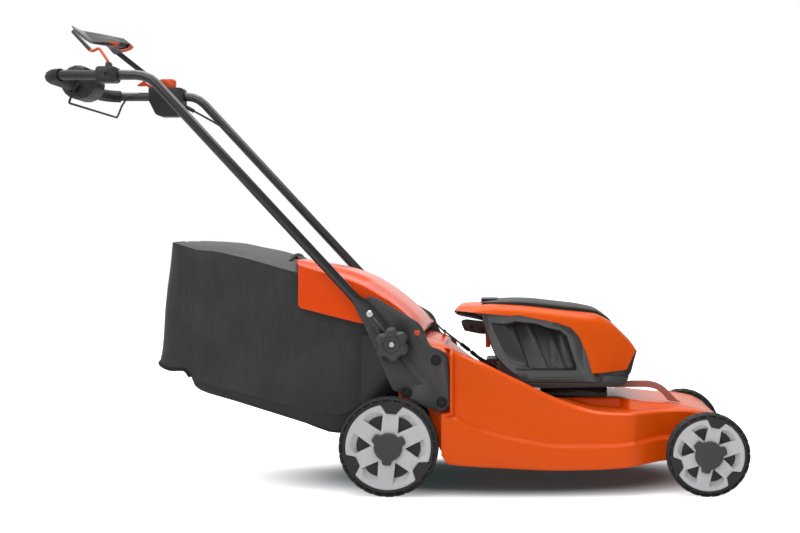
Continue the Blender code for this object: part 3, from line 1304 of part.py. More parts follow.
def lid_shape():
    """The domed lid that lies on the hood round the battery opening."""
    bm = bmesh.new()
    rings = []
    for x, half, rise in LID_STATIONS:
        low = top_line(x) + 0.0006
        section = [(-half, low), (half, low), (half, low + rise * 0.45), (half * 0.75, low + rise * 0.85),
                   (half * 0.35, low + rise), (-half * 0.35, low + rise), (-half * 0.75, low + rise * 0.85),
                   (-half, low + rise * 0.45)]
        rings.append([bm.verts.new((x, y, z)) for y, z in section])
    skin(bm, rings)
    return bm


def safety_key(parent, key_axis):
    """The holder under the housing's tail, and the pull-out key."""
    y0, y1 = -0.085, -0.045
    middle = (y0 + y1) / 2
    block_line = [(0.1730, 0.3900), (0.2352, 0.3900), (0.2271, 0.4220), (0.2240, 0.4321), (0.1730, 0.4416)]
    holder = solid("key_holder", plate(block_line, y0, y1, [circle(0.1985, 0.4075, 0.004, 8)]),
                   "dark_plastic", parent)
    combine(holder, block(0.2150, 0.2200, middle - 0.0073, middle + 0.0073, 0.380, 0.4105))
    key_line = [(0.2153, 0.4100), (0.2197, 0.4100), (0.2197, 0.3893), (0.2350, 0.3893),
                (0.2360, 0.3842), (0.2415, 0.3700), (0.2422, 0.3489), (0.2306, 0.3489),
                (0.2306, 0.3835), (0.2153, 0.3835)]
    solid("safety_key", plate(key_line, middle - 0.007, middle + 0.007), "part_orange", key_axis)


STRAP_LINE = [(0.5670, 0.2331), (0.5670, 0.2455), (0.5730, 0.2490), (0.6460, 0.2500), (0.6660, 0.2465),
              (0.6820, 0.2390), (0.6965, 0.2260), (0.7030, 0.2150), (0.7350, 0.2104), (0.7350, 0.2125),
              (0.7290, 0.2145), (0.7210, 0.2215), (0.7085, 0.2352), (0.6935, 0.2500), (0.6735, 0.2610),
              (0.6480, 0.2655), (0.6000, 0.2648), (0.5850, 0.2635), (0.5700, 0.2605), (0.5575, 0.2555),
              (0.5530, 0.2480), (0.5530, 0.2331)]


def carry_strap(parent):
    solid("carry_strap", plate(STRAP_LINE, -0.108, -0.092), "strap", parent)


FLAP_RIDGE = blend_curve([(-0.2325, 0.5684), (-0.1374, 0.5448), (-0.0534, 0.5248), (0.0136, 0.4879),
                          (0.0472, 0.4508), (0.0776, 0.4207), (0.0860, 0.4080)])
FLAP_RIDGE_Y = blend_curve([(-0.2325, 0.200), (-0.10, 0.196), (-0.03, 0.186), (0.0136, 0.168),
                            (0.0472, 0.145), (0.0776, 0.118), (0.0860, 0.112)])
FLAP_LOW = blend_curve([(-0.2325, 0.4597), (-0.0805, 0.4215), (0.0, 0.4055), (0.05, 0.3960),
                        (0.0860, 0.3945)])
FLAP_STATIONS = (-0.2325, -0.185, -0.1374, -0.095, -0.0534, -0.020, 0.0136, 0.0300, 0.0472, 0.0640,
                 0.0776, 0.0850)


def rear_flap(parent):
    """The moulded flap over the bag's mouth, hinged at its front end."""
    rows = []
    for x in FLAP_STATIONS:
        ridge = FLAP_RIDGE(x)
        edge = FLAP_RIDGE_Y(x)
        low = FLAP_LOW(x)
        swell = max(0.0, (-x - 0.12) / 0.1125)
        half = [(0.0, ridge + 0.006, -0.025), (edge * 0.55, ridge + 0.0045, -0.018),
                (edge - 0.014, ridge, -0.004), (edge, ridge - 0.006, 0.0),
                (0.5 * edge + 0.5 * 0.213, ridge * 0.45 + (low + 0.012) * 0.55, 0.0),
                (0.213, low + 0.012, 0.0), (0.213, low, 0.0)]
        right = [(x + push * swell, -y, z) for y, z, push in half]
        left = [(px, -y, z) for px, y, z in right]
        rows.append(right[:0:-1] + left)
    bm, _ = sheet(rows)
    nose = [(0.0868, y, max(min(z, 0.4040), 0.3965)) for _, y, z in rows[-1]]
    extra = [bm.verts.new(p) for p in nose]
    bm.verts.ensure_lookup_table()
    last = list(bm.verts)[-2 * len(nose):-len(nose)]
    for k in range(len(nose) - 1):
        bm.faces.new((last[k], last[k + 1], extra[k + 1], extra[k]))
    flap = solid("rear_flap", bm, "flap_orange", parent)
    turn_outward(flap, (-0.07, 0.0, 0.40))
    thicken(flap, FLAP_WALL)
    combine(flap, rod((FLAP_PIN[0], -0.22, FLAP_PIN[1]), (FLAP_PIN[0], 0.22, FLAP_PIN[1]),
                      FLAP_PIN_RADIUS + FIT_GAP, 10))


def flap_pin(parent):
    x, z = FLAP_PIN
    solid("flap_pin", rod((x, -BRACKET_OUTSIDE - 0.0004, z), (x, BRACKET_OUTSIDE + 0.0004, z),
                          FLAP_PIN_RADIUS, 10), "steel", parent)


BAG_SEAM = blend_curve([(-0.5512, 0.6189), (-0.4794, 0.6037), (-0.3239, 0.5736), (-0.2335, 0.5435),
                        (-0.16, 0.5180), (-0.0865, 0.4880)])
BAG_CROWN = blend_curve([(-0.5512, 0.6200), (-0.528, 0.6262), (-0.4615, 0.6238), (-0.3633, 0.6112),
                         (-0.300, 0.5890), (-0.262, 0.5630), (-0.23, 0.5545), (-0.16, 0.5290),
                         (-0.0865, 0.4960)])
BAG_LOW = blend_curve([(-0.5788, 0.3253), (-0.5412, 0.3012), (-0.5010, 0.2835), (-0.4935, 0.2762), (-0.2049, 0.1978),
                       (-0.1347, 0.1860), (-0.0865, 0.2120)])
TRAY_LOW = blend_curve([(-0.4935, 0.2585), (-0.2573, 0.1772), (-0.1281, 0.1446), (-0.0865, 0.1920)])
BAG_STATIONS = (-0.0865, -0.130, -0.185, -0.2335, -0.275, -0.3239, -0.38, -0.44, -0.4935, -0.53)
BAG_BACK = (-0.5512, 0.6189, -0.5788, 0.3253)


def grass_bag(parent):
    """The fabric hood of the bag, the plastic tray below it and the mouth frame."""
    half = BAG_HALF_WIDTH
    rows = []
    for x in BAG_STATIONS:
        rows.append(bag_section(half, BAG_LOW(x) + 0.0015, BAG_SEAM(x), BAG_CROWN(x), lambda z: x))
    x_top, z_top, x_foot, z_foot = BAG_BACK
    lean = (x_foot - x_top) / (z_foot - z_top)
    rows.append(bag_section(half, z_foot, z_top, z_top + 0.004, lambda z: x_top + (z - z_top) * lean))
    bm, grid = sheet(rows)
    bm.faces.new(grid[-1])
    fabric = solid("bag_fabric", bm, "fabric", parent)
    turn_outward(fabric, (-0.3, 0.0, 0.40))
    thicken(fabric, BAG_WALL)
    rows = [[(-0.5030, y, 0.2745) for y in (-half, -half + 0.004, -half + 0.020, 0.0,
                                            half - 0.020, half - 0.004, half)]]
    for x in reversed(BAG_STATIONS[:-1]):
        low = TRAY_LOW(x)
        top = BAG_LOW(x) - 0.0020
        rows.append([(x, -half, top), (x, -half + 0.002, low + 0.014), (x, -half + 0.020, low),
                     (x, 0.0, low), (x, half - 0.020, low), (x, half - 0.002, low + 0.014),
                     (x, half, top)])
    bm, _ = sheet(rows)
    tray = solid("bag_tray", bm, "dark_plastic", parent)
    turn_outward(tray, (-0.3, 0.0, 0.60))
    thicken(tray, BAG_WALL)
    mouth_frame(parent)


def bag_section(half, low, seam, crown, x_at):
    points = [(half, low), (half, low + 0.34 * (seam - low)), (half, low + 0.7 * (seam - low)),
              (half - 0.002, seam - 0.012), (half - 0.010, seam), (half * 0.72, seam + 0.72 * (crown - seam)),
              (half * 0.36, seam + 0.95 * (crown - seam))]
    right = [(x_at(z), -y, z) for y, z in points]
    left = [(x, -y, z) for x, y, z in right[::-1]]
    return right + [(x_at(crown), 0.0, crown)] + left


FRAME_LINE = [(-0.0805, 0.5010), (-0.120, 0.5235), (-0.160, 0.5400), (-0.200, 0.5545), (-0.230, 0.5640),
              (-0.2590, 0.5680), (-0.2720, 0.5790), (-0.2950, 0.5970)]


def mouth_frame(parent):
    """The ring that hooks on the mower, with the plate that ends in the bag's handle."""
    ring = [(-0.1955, 0.1960), (0.1955, 0.1960), (0.1955, 0.4680), (0.1830, 0.5030), (-0.1830, 0.5030),
            (-0.1955, 0.4680)]
    opening = [(-0.181, 0.2100), (0.181, 0.2100), (0.181, 0.4620), (0.172, 0.4830), (-0.172, 0.4830),
               (-0.181, 0.4620)]
    bm = plate(ring, 0.0770, 0.0850, [opening])
    bmesh.ops.rotate(bm, verts=bm.verts, matrix=Matrix.Rotation(math.pi / 2, 3, "Z"))
    frame_part = solid("bag_frame", bm, "dark_plastic", parent)
    line = [(x, 0.0, z) for x, z in FRAME_LINE]
    strip = swept(line, [(-0.050, -0.0013), (0.050, -0.0013), (0.050, 0.0013), (-0.050, 0.0013)])
    combine(frame_part, strip, "UNION")
    grip = rod((-0.2950, -0.0500, 0.5980), (-0.2950, 0.0500, 0.5980), 0.0060, 8)
    combine(frame_part, grip, "UNION")


SKIRT_AXIS = (-0.0620, 0.2150)


def rear_skirt(parent):
    x, z = SKIRT_AXIS
    solid("rear_skirt", block(x - 0.002, x + 0.002, -0.205, 0.205, 0.035, z + 0.004), "soft_rubber", parent)


def handle_group(frame):
    """The folding handle, with everything that rides on it."""
    for label, side in (("right", -1), ("left", 1)):
        handle_bracket("handle_bracket_" + label, side, frame)
    fold = empty("handle_axis", (HANDLE_PIVOT[0], 0, HANDLE_PIVOT[1]), frame)
    handle_tube(fold)
    grip_sleeve(fold)
    control_pod(fold)
    rod_clamp(fold)
    for label, side in (("right", -1), ("left", 1)):
        knob_axis = empty("knob_axis_" + label, (KNOB[0], side * 0.275, KNOB[1]), fold)
        handle_fixings(label, side, fold, knob_axis)
    bail_axis = empty("drive_bail_axis", (BAIL_AXIS[0], 0, BAIL_AXIS[1]), fold)
    drive_bail(bail_axis)
    drive_paddle(bail_axis)
    stop_bail(empty("stop_bail_axis", (STOP_PIVOT[0], 0, STOP_PIVOT[1]), fold))
    button_axis = empty("button_axis", (-0.679, HANDLE_Y, 1.0575), fold)
    lever_axis = empty("speed_lever_axis", (LEVER_AXIS[0], HANDLE_Y, LEVER_AXIS[1]), fold)
    control_box(fold, button_axis, lever_axis)
    handle_cables(fold, frame)


MATERIALS = {}


def build():
    clear_scene()
    frame = empty("mower_frame", (0, 0, 0))
    frame.location = (-CENTRE_X, 0, 0)
    deck_shell(frame)
    discharge_chute(frame)
    handle_group(frame)
    lid_front = LID_STATIONS[-1][0]
    lid_axis = empty("lid_axis", (lid_front, 0, top_line(lid_front) + 0.0006), frame)
    battery_housing(frame, lid_axis)
    safety_key(frame, empty("key_axis", (0.2175, -0.065, 0.3893), frame))
    carry_strap(frame)
    flap_axis = empty("flap_axis", (FLAP_PIN[0], 0, FLAP_PIN[1]), frame)
    rear_flap(flap_axis)
    flap_pin(frame)
    grass_bag(empty("bag_axis", (-0.0865, 0, 0.34), frame))
    rear_skirt(empty("skirt_axis", (SKIRT_AXIS[0], 0, SKIRT_AXIS[1]), frame))
    spindle = empty("blade_axis", (SPINDLE_X, 0, BLADE_HEIGHT), frame)
    blade_gear(frame, spindle)
    rear = empty("rear_crank_axis", (REAR_CRANK[0], 0, REAR_CRANK[1]), frame)
    front = empty("front_crank_axis", (FRONT_CRANK[0], 0, FRONT_CRANK[1]), frame)
    axle_frame("rear_axle_frame", REAR_CRANK, (0, REAR_AXLE_Z), rear, True)
    axle_frame("front_axle_frame", FRONT_CRANK, (WHEELBASE, FRONT_AXLE_Z), front, False)
    height_lever(rear)
    rear_drive(rear)
    height_quadrant(frame)
    pin = link_pin(REAR_CRANK)
    height_link(empty("link_axis", (pin[0], 0, pin[1]), rear))
    shaft = empty("drive_shaft_axis", (0, 0, REAR_AXLE_Z), rear)
    solid("drive_shaft", rod((0, -STUB_END, REAR_AXLE_Z), (0, STUB_END, REAR_AXLE_Z), SHAFT_RADIUS, 14),
          "steel", shaft)
    for side, label in ((-1, "right"), (1, "left")):
        hub = empty("rear_hub_" + label, (0, side * TYRE_Y, REAR_AXLE_Z), rear)
        make_wheel("rear_" + label, REAR_WHEEL, 0, REAR_AXLE_Z, side, hub)
        hub = empty("front_hub_" + label, (WHEELBASE, side * TYRE_Y, FRONT_AXLE_Z), front)
        make_wheel("front_" + label, FRONT_WHEEL, WHEELBASE, FRONT_AXLE_Z, side, hub)


build()
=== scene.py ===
import json
import math

import bmesh
import bpy
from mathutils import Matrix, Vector, noise

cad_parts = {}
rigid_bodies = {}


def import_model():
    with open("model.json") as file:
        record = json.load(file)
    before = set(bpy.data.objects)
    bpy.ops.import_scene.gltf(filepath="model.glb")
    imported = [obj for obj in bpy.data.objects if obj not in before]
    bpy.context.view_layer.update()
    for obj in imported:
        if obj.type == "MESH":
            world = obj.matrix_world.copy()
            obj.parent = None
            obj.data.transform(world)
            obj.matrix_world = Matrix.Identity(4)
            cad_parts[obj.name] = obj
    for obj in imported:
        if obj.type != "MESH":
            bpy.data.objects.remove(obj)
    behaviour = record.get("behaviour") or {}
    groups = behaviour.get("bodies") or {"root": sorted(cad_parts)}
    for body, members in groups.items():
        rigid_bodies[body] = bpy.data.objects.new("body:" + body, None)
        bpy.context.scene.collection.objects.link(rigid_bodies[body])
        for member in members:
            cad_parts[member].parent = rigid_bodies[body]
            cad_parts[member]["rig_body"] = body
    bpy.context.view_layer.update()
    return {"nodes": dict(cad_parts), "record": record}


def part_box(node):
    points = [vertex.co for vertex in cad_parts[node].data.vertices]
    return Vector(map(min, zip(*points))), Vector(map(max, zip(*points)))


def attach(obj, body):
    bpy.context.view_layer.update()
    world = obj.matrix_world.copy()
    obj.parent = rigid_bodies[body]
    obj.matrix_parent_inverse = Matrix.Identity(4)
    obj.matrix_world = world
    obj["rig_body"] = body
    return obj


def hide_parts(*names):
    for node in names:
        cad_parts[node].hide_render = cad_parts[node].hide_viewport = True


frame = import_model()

AXLE_X = sum(corner.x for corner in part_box("rear_right_tyre")) / 2


def at(x, y, z):
    """A point written from the rear axle, as the whole mower is."""
    return Vector((x + AXLE_X, y, z))


# ---- finishes ----

def linear(code):
    """An sRGB hex colour as linear RGBA."""
    parts = [int(code[k:k + 2], 16) / 255 for k in (1, 3, 5)]
    return tuple(c / 12.92 if c <= 0.04045 else ((c + 0.055) / 1.055) ** 2.4 for c in parts) + (1.0,)


def add(tree, kind, inputs=None, **settings):
    """One node with its properties, and its inputs set or linked."""
    made = tree.nodes.new(kind)
    for name, value in settings.items():
        setattr(made, name, value)
    for key, value in (inputs or {}).items():
        if isinstance(value, bpy.types.NodeSocket):
            tree.links.new(value, made.inputs[key])
        else:
            made.inputs[key].default_value = value
    return made


def start(name, **values):
    """A Principled material and its tree."""
    material = bpy.data.materials.new(name)
    material.use_nodes = True
    tree = material.node_tree
    shader = tree.nodes["Principled BSDF"]
    for key, value in values.items():
        shader.inputs[key.replace("_", " ")].default_value = value
    return material, tree, shader


def place(tree, size=(1, 1, 1), turn=(0, 0, 0)):
    """Object coordinates, turned and stretched."""
    where = add(tree, "ShaderNodeTexCoord")
    return add(tree, "ShaderNodeMapping", {"Vector": where.outputs["Object"], "Scale": size,
                                           "Rotation": turn}).outputs["Vector"]


def ramp(tree, factor, low, high, colours):
    """Two colours faded between two values of a pattern."""
    made = add(tree, "ShaderNodeValToRGB", {"Fac": factor})
    made.color_ramp.elements[0].position = low
    made.color_ramp.elements[1].position = high
    made.color_ramp.elements[0].color = colours[0]
    made.color_ramp.elements[1].color = colours[1]
    return made.outputs["Color"]


def shade(code, factor):
    """A hex colour made lighter or darker, in linear light."""
    return tuple(min(1.0, c * factor) for c in linear(code)[:3]) + (1.0,)


def moulded(name, code, roughness, grain, depth, coat=0.0, vary=0.12, tint="#FFFFFF", gleam=0.5):
    """Injection-moulded plastic: clouds 110 mm wide under an etched grain of the given size.

    The real grain is 0.1 to 0.3 mm, too fine for a pixel of 2.5 mm, so it is drawn at 1 to 4 mm.
    """
    material, tree, shader = start(name, Roughness=roughness, IOR=1.49, Coat_Weight=coat, Coat_Roughness=0.10,
                                   Specular_Tint=linear(tint), Specular_IOR_Level=gleam)
    spot = place(tree)
    cloud = add(tree, "ShaderNodeTexNoise", {"Vector": spot, "Scale": 9.0, "Detail": 3.0})
    colour = ramp(tree, cloud.outputs["Fac"], 0.3, 0.7, (shade(code, 1 - vary), shade(code, 1 + vary)))
    tree.links.new(colour, shader.inputs["Base Color"])
    etch = add(tree, "ShaderNodeTexNoise", {"Vector": spot, "Scale": 1 / grain, "Detail": 2.0})
    bump = add(tree, "ShaderNodeBump", {"Height": etch.outputs["Fac"], "Distance": depth, "Strength": 0.6})
    tree.links.new(bump.outputs["Normal"], shader.inputs["Normal"])
    return material


def painted(name, code, roughness=0.30, peel=0.006, depth=0.00006, coat=0.25, tint="#FFFFFF"):
    """Baked paint on steel: a clear gloss over the colour, with an orange peel of the given size.

    The real peel is 1 to 2 mm and is drawn up to 6 mm wide on the deck, so that it shows.
    """
    material, tree, shader = start(name, Roughness=roughness, IOR=1.5, Coat_Weight=coat,
                                   Coat_Roughness=0.06, Coat_IOR=1.5, Specular_Tint=linear(tint))
    spot = place(tree)
    cloud = add(tree, "ShaderNodeTexNoise", {"Vector": spot, "Scale": 3.0, "Detail": 2.0})
    colour = ramp(tree, cloud.outputs["Fac"], 0.35, 0.65, (shade(code, 0.95), shade(code, 1.04)))
    tree.links.new(colour, shader.inputs["Base Color"])
    skin = add(tree, "ShaderNodeTexNoise", {"Vector": spot, "Scale": 1 / peel, "Detail": 1.0})
    bump = add(tree, "ShaderNodeBump", {"Height": skin.outputs["Fac"], "Distance": depth, "Strength": 0.5})
    tree.links.new(bump.outputs["Normal"], shader.inputs["Coat Normal"])
    return material


def metal(name, code, roughness, brush=0.0012):
    """Plated or bare steel with drawn lines, really 0.1 mm apart and drawn 1.2 mm apart to show."""
    material, tree, shader = start(name, Metallic=1.0, Roughness=roughness)
    spot = place(tree, (1, 1, 12))
    lines = add(tree, "ShaderNodeTexNoise", {"Vector": spot, "Scale": 1 / brush / 12, "Detail": 3.0})
    colour = ramp(tree, lines.outputs["Fac"], 0.3, 0.7, (shade(code, 0.8), shade(code, 1.1)))
    tree.links.new(colour, shader.inputs["Base Color"])
    bump = add(tree, "ShaderNodeBump", {"Height": lines.outputs["Fac"], "Distance": 0.0001, "Strength": 0.4})
    tree.links.new(bump.outputs["Normal"], shader.inputs["Normal"])
    return material


def woven(name, code):
    """Coated polyester cloth: upright streaks 5 mm wide and a 1.1 mm weave over 90 mm clouds.

    The real threads are 0.4 mm apart, so the weave is drawn coarser than it is.
    """
    material, tree, shader = start(name, Roughness=0.86, Sheen_Weight=0.15)
    upright = place(tree, (1, 1, 0.05))
    streak = add(tree, "ShaderNodeTexNoise", {"Vector": upright, "Scale": 210.0, "Detail": 4.0})
    cloud = add(tree, "ShaderNodeTexNoise", {"Vector": place(tree), "Scale": 11.0, "Detail": 4.0})
    blend = add(tree, "ShaderNodeMath", {0: streak.outputs["Fac"], 1: 0.6, 2: 0.0}, operation="MULTIPLY_ADD")
    tree.links.new(cloud.outputs["Fac"], blend.inputs[2])
    colour = ramp(tree, blend.outputs[0], 0.62, 0.98, (shade(code, 0.84), shade(code, 1.2)))
    tree.links.new(colour, shader.inputs["Base Color"])
    weave = add(tree, "ShaderNodeTexNoise", {"Vector": place(tree), "Scale": 900.0, "Detail": 1.0})
    first = add(tree, "ShaderNodeBump", {"Height": streak.outputs["Fac"], "Distance": 0.0006, "Strength": 0.5})
    last = add(tree, "ShaderNodeBump", {"Height": weave.outputs["Fac"], "Distance": 0.0003, "Strength": 0.5,
                                        "Normal": first.outputs["Normal"]})
    tree.links.new(last.outputs["Normal"], shader.inputs["Normal"])
    return material


def netting(name, code):
    """Knitted air mesh: dark round holes, 2 mm in the real net and drawn 4 mm apart, in a paler net."""
    material, tree, shader = start(name, Roughness=0.7, Sheen_Weight=0.2)
    cells = add(tree, "ShaderNodeTexVoronoi", {"Vector": place(tree), "Scale": 250.0, "Randomness": 0.15},
                voronoi_dimensions="2D")
    colour = ramp(tree, cells.outputs["Distance"], 0.30, 0.44, (shade(code, 0.12), shade(code, 1.7)))
    tree.links.new(colour, shader.inputs["Base Color"])
    bump = add(tree, "ShaderNodeBump", {"Height": cells.outputs["Distance"], "Distance": 0.0012,
                                        "Strength": 0.8})
    tree.links.new(bump.outputs["Normal"], shader.inputs["Normal"])
    return material


# Orange stove enamel on pressed steel: a warm gloss with broad, soft lights along the folds.
ENAMEL = painted("orange_stove_enamel", "#E25208", coat=0.16, tint="#FF9A70")
# Powder coat on the tubes, hooks and wires: black with a bright line along each bend.
TUBE = painted("black_powder_coat", "#1D1D1E", 0.32, 0.002, 0.00012)
# ABS from a polished tool on the flap: the reddest and glossiest orange, nearly without grain.
FLAP_ABS = moulded("orange_gloss_abs", "#EE4A04", 0.26, 0.004, 0.00003, coat=0.22, vary=0.03, tint="#FF9A70")
# The hood's ABS: the deck's orange with a softer light on its folds.
HOOD_ABS = moulded("orange_hood_abs", "#E2560A", 0.36, 0.003, 0.00004, coat=0.06, vary=0.03, tint="#FF9A70")
# Satin ABS on the key, the pin caps and the paddle's inlay: a duller orange with no clear light.
KEY_ABS = moulded("orange_satin_abs", "#D9501F", 0.45, 0.003, 0.00004, vary=0.05)
# Filled polypropylene on the knobs, caps and side plates: dark grey, with a spark-eroded grain.
PLASTIC = moulded("black_filled_polypropylene", "#353536", 0.46, 0.0016, 0.00010)
# The lower housing in the same resin, a little blacker and smoother.
HOUSING_PP = moulded("black_housing_polypropylene", "#2B2B2C", 0.44, 0.0016, 0.00010)
# The battery lid: black ABS with one wide, quiet light over its dome.
LID_ABS = moulded("black_gloss_abs", "#202022", 0.42, 0.003, 0.00003, vary=0.05, gleam=0.22)
# The packs in the housing: mid-grey ABS.
PACK_ABS = moulded("battery_grey_abs", "#4A4B4E", 0.5, 0.0016, 0.00010)
# Vulcanised tyre rubber: matt charcoal, with the dust of the mould in its grain.
RUBBER = moulded("tyre_rubber", "#232324", 0.72, 0.0022, 0.00020, vary=0.18)
# Soft rubber on the grips, cables and skirt: nearly black and without gloss.
SOFT = moulded("soft_grip_rubber", "#161617", 0.62, 0.0018, 0.00018)
# Silver-filled plastic on the rims: an even light grey with a faint satin light.
RIM = moulded("silver_rim_plastic", "#C2C2C4", 0.42, 0.002, 0.00004, vary=0.03)
# The bag's floor, its mouth ring and the wheels' backs: black polypropylene, plainly matt.
TRAY_PP = moulded("bag_tray_polypropylene", "#161617", 0.50, 0.0016, 0.00010)
# Glass-filled polyamide on the handle's fittings: black with a crisp edge light.
HANDLE_PA = moulded("black_handle_polyamide", "#202021", 0.42, 0.0016, 0.00008)
# The paddle's ABS, smoother than the rest of the handle, and its silver-grey ends.
PADDLE_ABS = moulded("black_paddle_abs", "#131314", 0.34, 0.003, 0.00004, vary=0.05)
PADDLE_TIP = moulded("silver_grey_paddle_tip", "#7E7F82", 0.40, 0.002, 0.00004, vary=0.05)
# The rubbery lifting strap in copper brown.
STRAP = moulded("copper_brown_strap", "#A5645A", 0.40, 0.003, 0.00004)
# Screw heads in black oxide, the darkest points on the mower; the same black lines the bracket's screw pockets
# as painted shade.
SCREW_AND_POCKET_SHADE = moulded("black_oxide_screw_and_pocket_shade", "#0E0E0F", 0.5, 0.001, 0.00002)
# Zinc plate on bolts and pins: bright, with drawn lines. The blade is darker and duller.
ZINC = metal("zinc_plated_steel", "#C9CBCD", 0.30)
BLADE = metal("black_blade_steel", "#3A3A3C", 0.45)
# The bag: coated cloth, an air mesh for its roof, black edge tape and grey thread.
CLOTH = woven("coated_bag_polyester", "#313132")
MESH = netting("knitted_air_mesh", "#48484A")
BINDING = moulded("black_binding_tape", "#0B0B0C", 0.85, 0.0008, 0.00012)
THREAD = moulded("grey_bag_thread", "#56565A", 0.8, 0.0008, 0.00006)


# ---- shapes ----

def skin(bm, rings, closed=False, caps=True):
    """Faces between rings of vertices that all have one length."""
    pairs = list(zip(rings, rings[1:]))
    if closed:
        pairs.append((rings[-1], rings[0]))
    for near, far in pairs:
        for k in range(len(near)):
            j = (k + 1) % len(near)
            bm.faces.new((near[k], near[j], far[j], far[k]))
    if caps and not closed:
        bm.faces.new(rings[0][::-1])
        bm.faces.new(rings[-1])
    bmesh.ops.recalc_face_normals(bm, faces=bm.faces)
    return bm


def loft(loops, closed=False, caps=True):
    """A skin over loops of points."""
    bm = bmesh.new()
    return skin(bm, [[bm.verts.new(p) for p in loop] for loop in loops], closed, caps)


def prism(outline, near, far, grow=0.0):
    """A closed block with an (x, z) outline, between two Y values."""
    middle = Vector((sum(p[0] for p in outline), sum(p[1] for p in outline))) / len(outline)
    wide = [middle + (Vector(p) - middle) * (1 + grow) for p in outline]
    return loft([[(x, near, z) for x, z in outline], [(p.x, far, p.y) for p in wide]])


def merged(*shapes):
    """Several meshes as one."""
    out = bmesh.new()
    for bm in shapes:
        mesh = bpy.data.meshes.new("part")
        bm.to_mesh(mesh)
        out.from_mesh(mesh)
        bm.free()
        bpy.data.meshes.remove(mesh)
    return out


def polar(radius, degrees):
    """A flat point from its distance and its direction."""
    turn = math.radians(degrees)
    return Vector((radius * math.cos(turn), radius * math.sin(turn)))


def turned(profile, x, z, steps=48, y=0.0, side=1, closed=False):
    """A shape turned round an axis along Y from (radius, depth) points."""
    rings = []
    for radius, depth in profile:
        ring = [polar(radius, 360 * k / steps) for k in range(steps)]
        rings.append([(x + p.x, y + side * depth, z + p.y) for p in ring])
    return loft(rings, closed)


def draped(rows, flip=False):
    """An open skin over rows of points."""
    bm = bmesh.new()
    grid = [[bm.verts.new(p) for p in row] for row in rows]
    for near, far in zip(grid, grid[1:]):
        for k in range(len(near) - 1):
            corners = (near[k], far[k], far[k + 1], near[k + 1])
            bm.faces.new((corners[0], *corners[:0:-1]) if flip else corners)
    return bm


def outward(bm, middle):
    """An open skin with its faces turned away from a point inside it."""
    bm.normal_update()
    if sum(f.calc_area() * f.normal.dot(f.calc_center_median() - middle) for f in bm.faces) < 0:
        bmesh.ops.reverse_faces(bm, faces=bm.faces)
    return bm


def rounded(corners, steps=5):
    """An outline from (x, z, radius) corners with the corners rounded."""
    out = []
    count = len(corners)
    for k in range(count):
        here = Vector(corners[k][:2])
        back = Vector(corners[k - 1][:2]) - here
        ahead = Vector(corners[(k + 1) % count][:2]) - here
        radius = corners[k][2]
        if radius == 0:
            out.append(tuple(here))
            continue
        half = back.angle(ahead) / 2
        reach = min(radius / math.tan(half), 0.48 * back.length, 0.48 * ahead.length)
        first = here + back.normalized() * reach
        last = here + ahead.normalized() * reach
        for j in range(steps + 1):
            t = j / steps
            out.append(tuple(first * (1 - t) ** 2 + here * 2 * t * (1 - t) + last * t * t))
    return out


def curve_points(points, step=0.006):
    """A smooth curve through 3-D points, at an even spacing."""
    pts = [Vector(p) for p in points]
    pts = [pts[0] * 2 - pts[1], *pts, pts[-1] * 2 - pts[-2]]
    out = [pts[1]]
    for a, b, c, d in zip(pts, pts[1:], pts[2:], pts[3:]):
        count = max(1, round((c - b).length / step))
        for k in range(1, count + 1):
            t = k / count
            out.append(0.5 * (2 * b + (c - a) * t + (2 * a - 5 * b + 4 * c - d) * t * t
                              + (3 * b - a - 3 * c + d) * t ** 3))
    return out


def swept(points, radius, steps=12, flat=1.0, taper=None):
    """A round rod along points, with closed ends."""
    pts = [Vector(p) for p in points]
    up = Vector((0, 1, 0))
    if abs((pts[-1] - pts[0]).normalized().y) > 0.8:
        up = Vector((0, 0, 1))
    loops = []
    for k, here in enumerate(pts):
        way = (pts[min(k + 1, len(pts) - 1)] - pts[max(k - 1, 0)]).normalized()
        side = way.cross(up).normalized()
        up = side.cross(way).normalized()
        size = radius * (taper(k / (len(pts) - 1)) if taper else 1.0)
        loops.append([here + (side * math.cos(a) + up * flat * math.sin(a)) * size
                      for a in (2 * math.pi * j / steps for j in range(steps))])
    return loft(loops)


def smooth_curve(points):
    """A smooth function of x through a few (x, value) points, with no overshoot."""
    xs, ys = zip(*points)
    steps = [(ys[i + 1] - ys[i]) / (xs[i + 1] - xs[i]) for i in range(len(xs) - 1)]
    slopes = [steps[0]]
    for before, after in zip(steps, steps[1:]):
        slopes.append(0.0 if before * after <= 0 else 2 * before * after / (before + after))
    slopes.append(steps[-1])

    def value(x):
        if x <= xs[0]:
            return ys[0]
        if x >= xs[-1]:
            return ys[-1]
        i = max(k for k in range(len(xs) - 1) if xs[k] <= x)
        h = xs[i + 1] - xs[i]
        t = (x - xs[i]) / h
        return ((1 + 2 * t) * (1 - t) ** 2 * ys[i] + t * (1 - t) ** 2 * h * slopes[i]
                + t * t * (3 - 2 * t) * ys[i + 1] + t * t * (t - 1) * h * slopes[i + 1])

    return value


def ramped(x, low, high):
    """A soft step from 0 at one value to 1 at another."""
    t = min(1.0, max(0.0, (x - low) / (high - low)))
    return t * t * (3 - 2 * t)


# ---- pieces ----

SLOTS = {row["node"]: row["material_slot"] for row in frame["record"]["subparts"]}
DONE = set()


def finished(name, bm, material, smooth=40, shift=True):
    """A mesh written from the rear axle as an object in its place, smooth up to an angle."""
    if shift:
        bmesh.ops.translate(bm, verts=bm.verts, vec=(AXLE_X, 0, 0))
    mesh = bpy.data.meshes.new(name)
    bm.to_mesh(mesh)
    bm.free()
    mesh.materials.append(material)
    piece = bpy.data.objects.new(name, mesh)
    bpy.context.scene.collection.objects.link(piece)
    return creased(piece, smooth)


def creased(piece, degrees):
    """Smooth shading, with the edges sharper than an angle left hard."""
    piece.data.shade_smooth()
    piece.data.set_sharp_from_angle(angle=math.radians(degrees))
    return piece


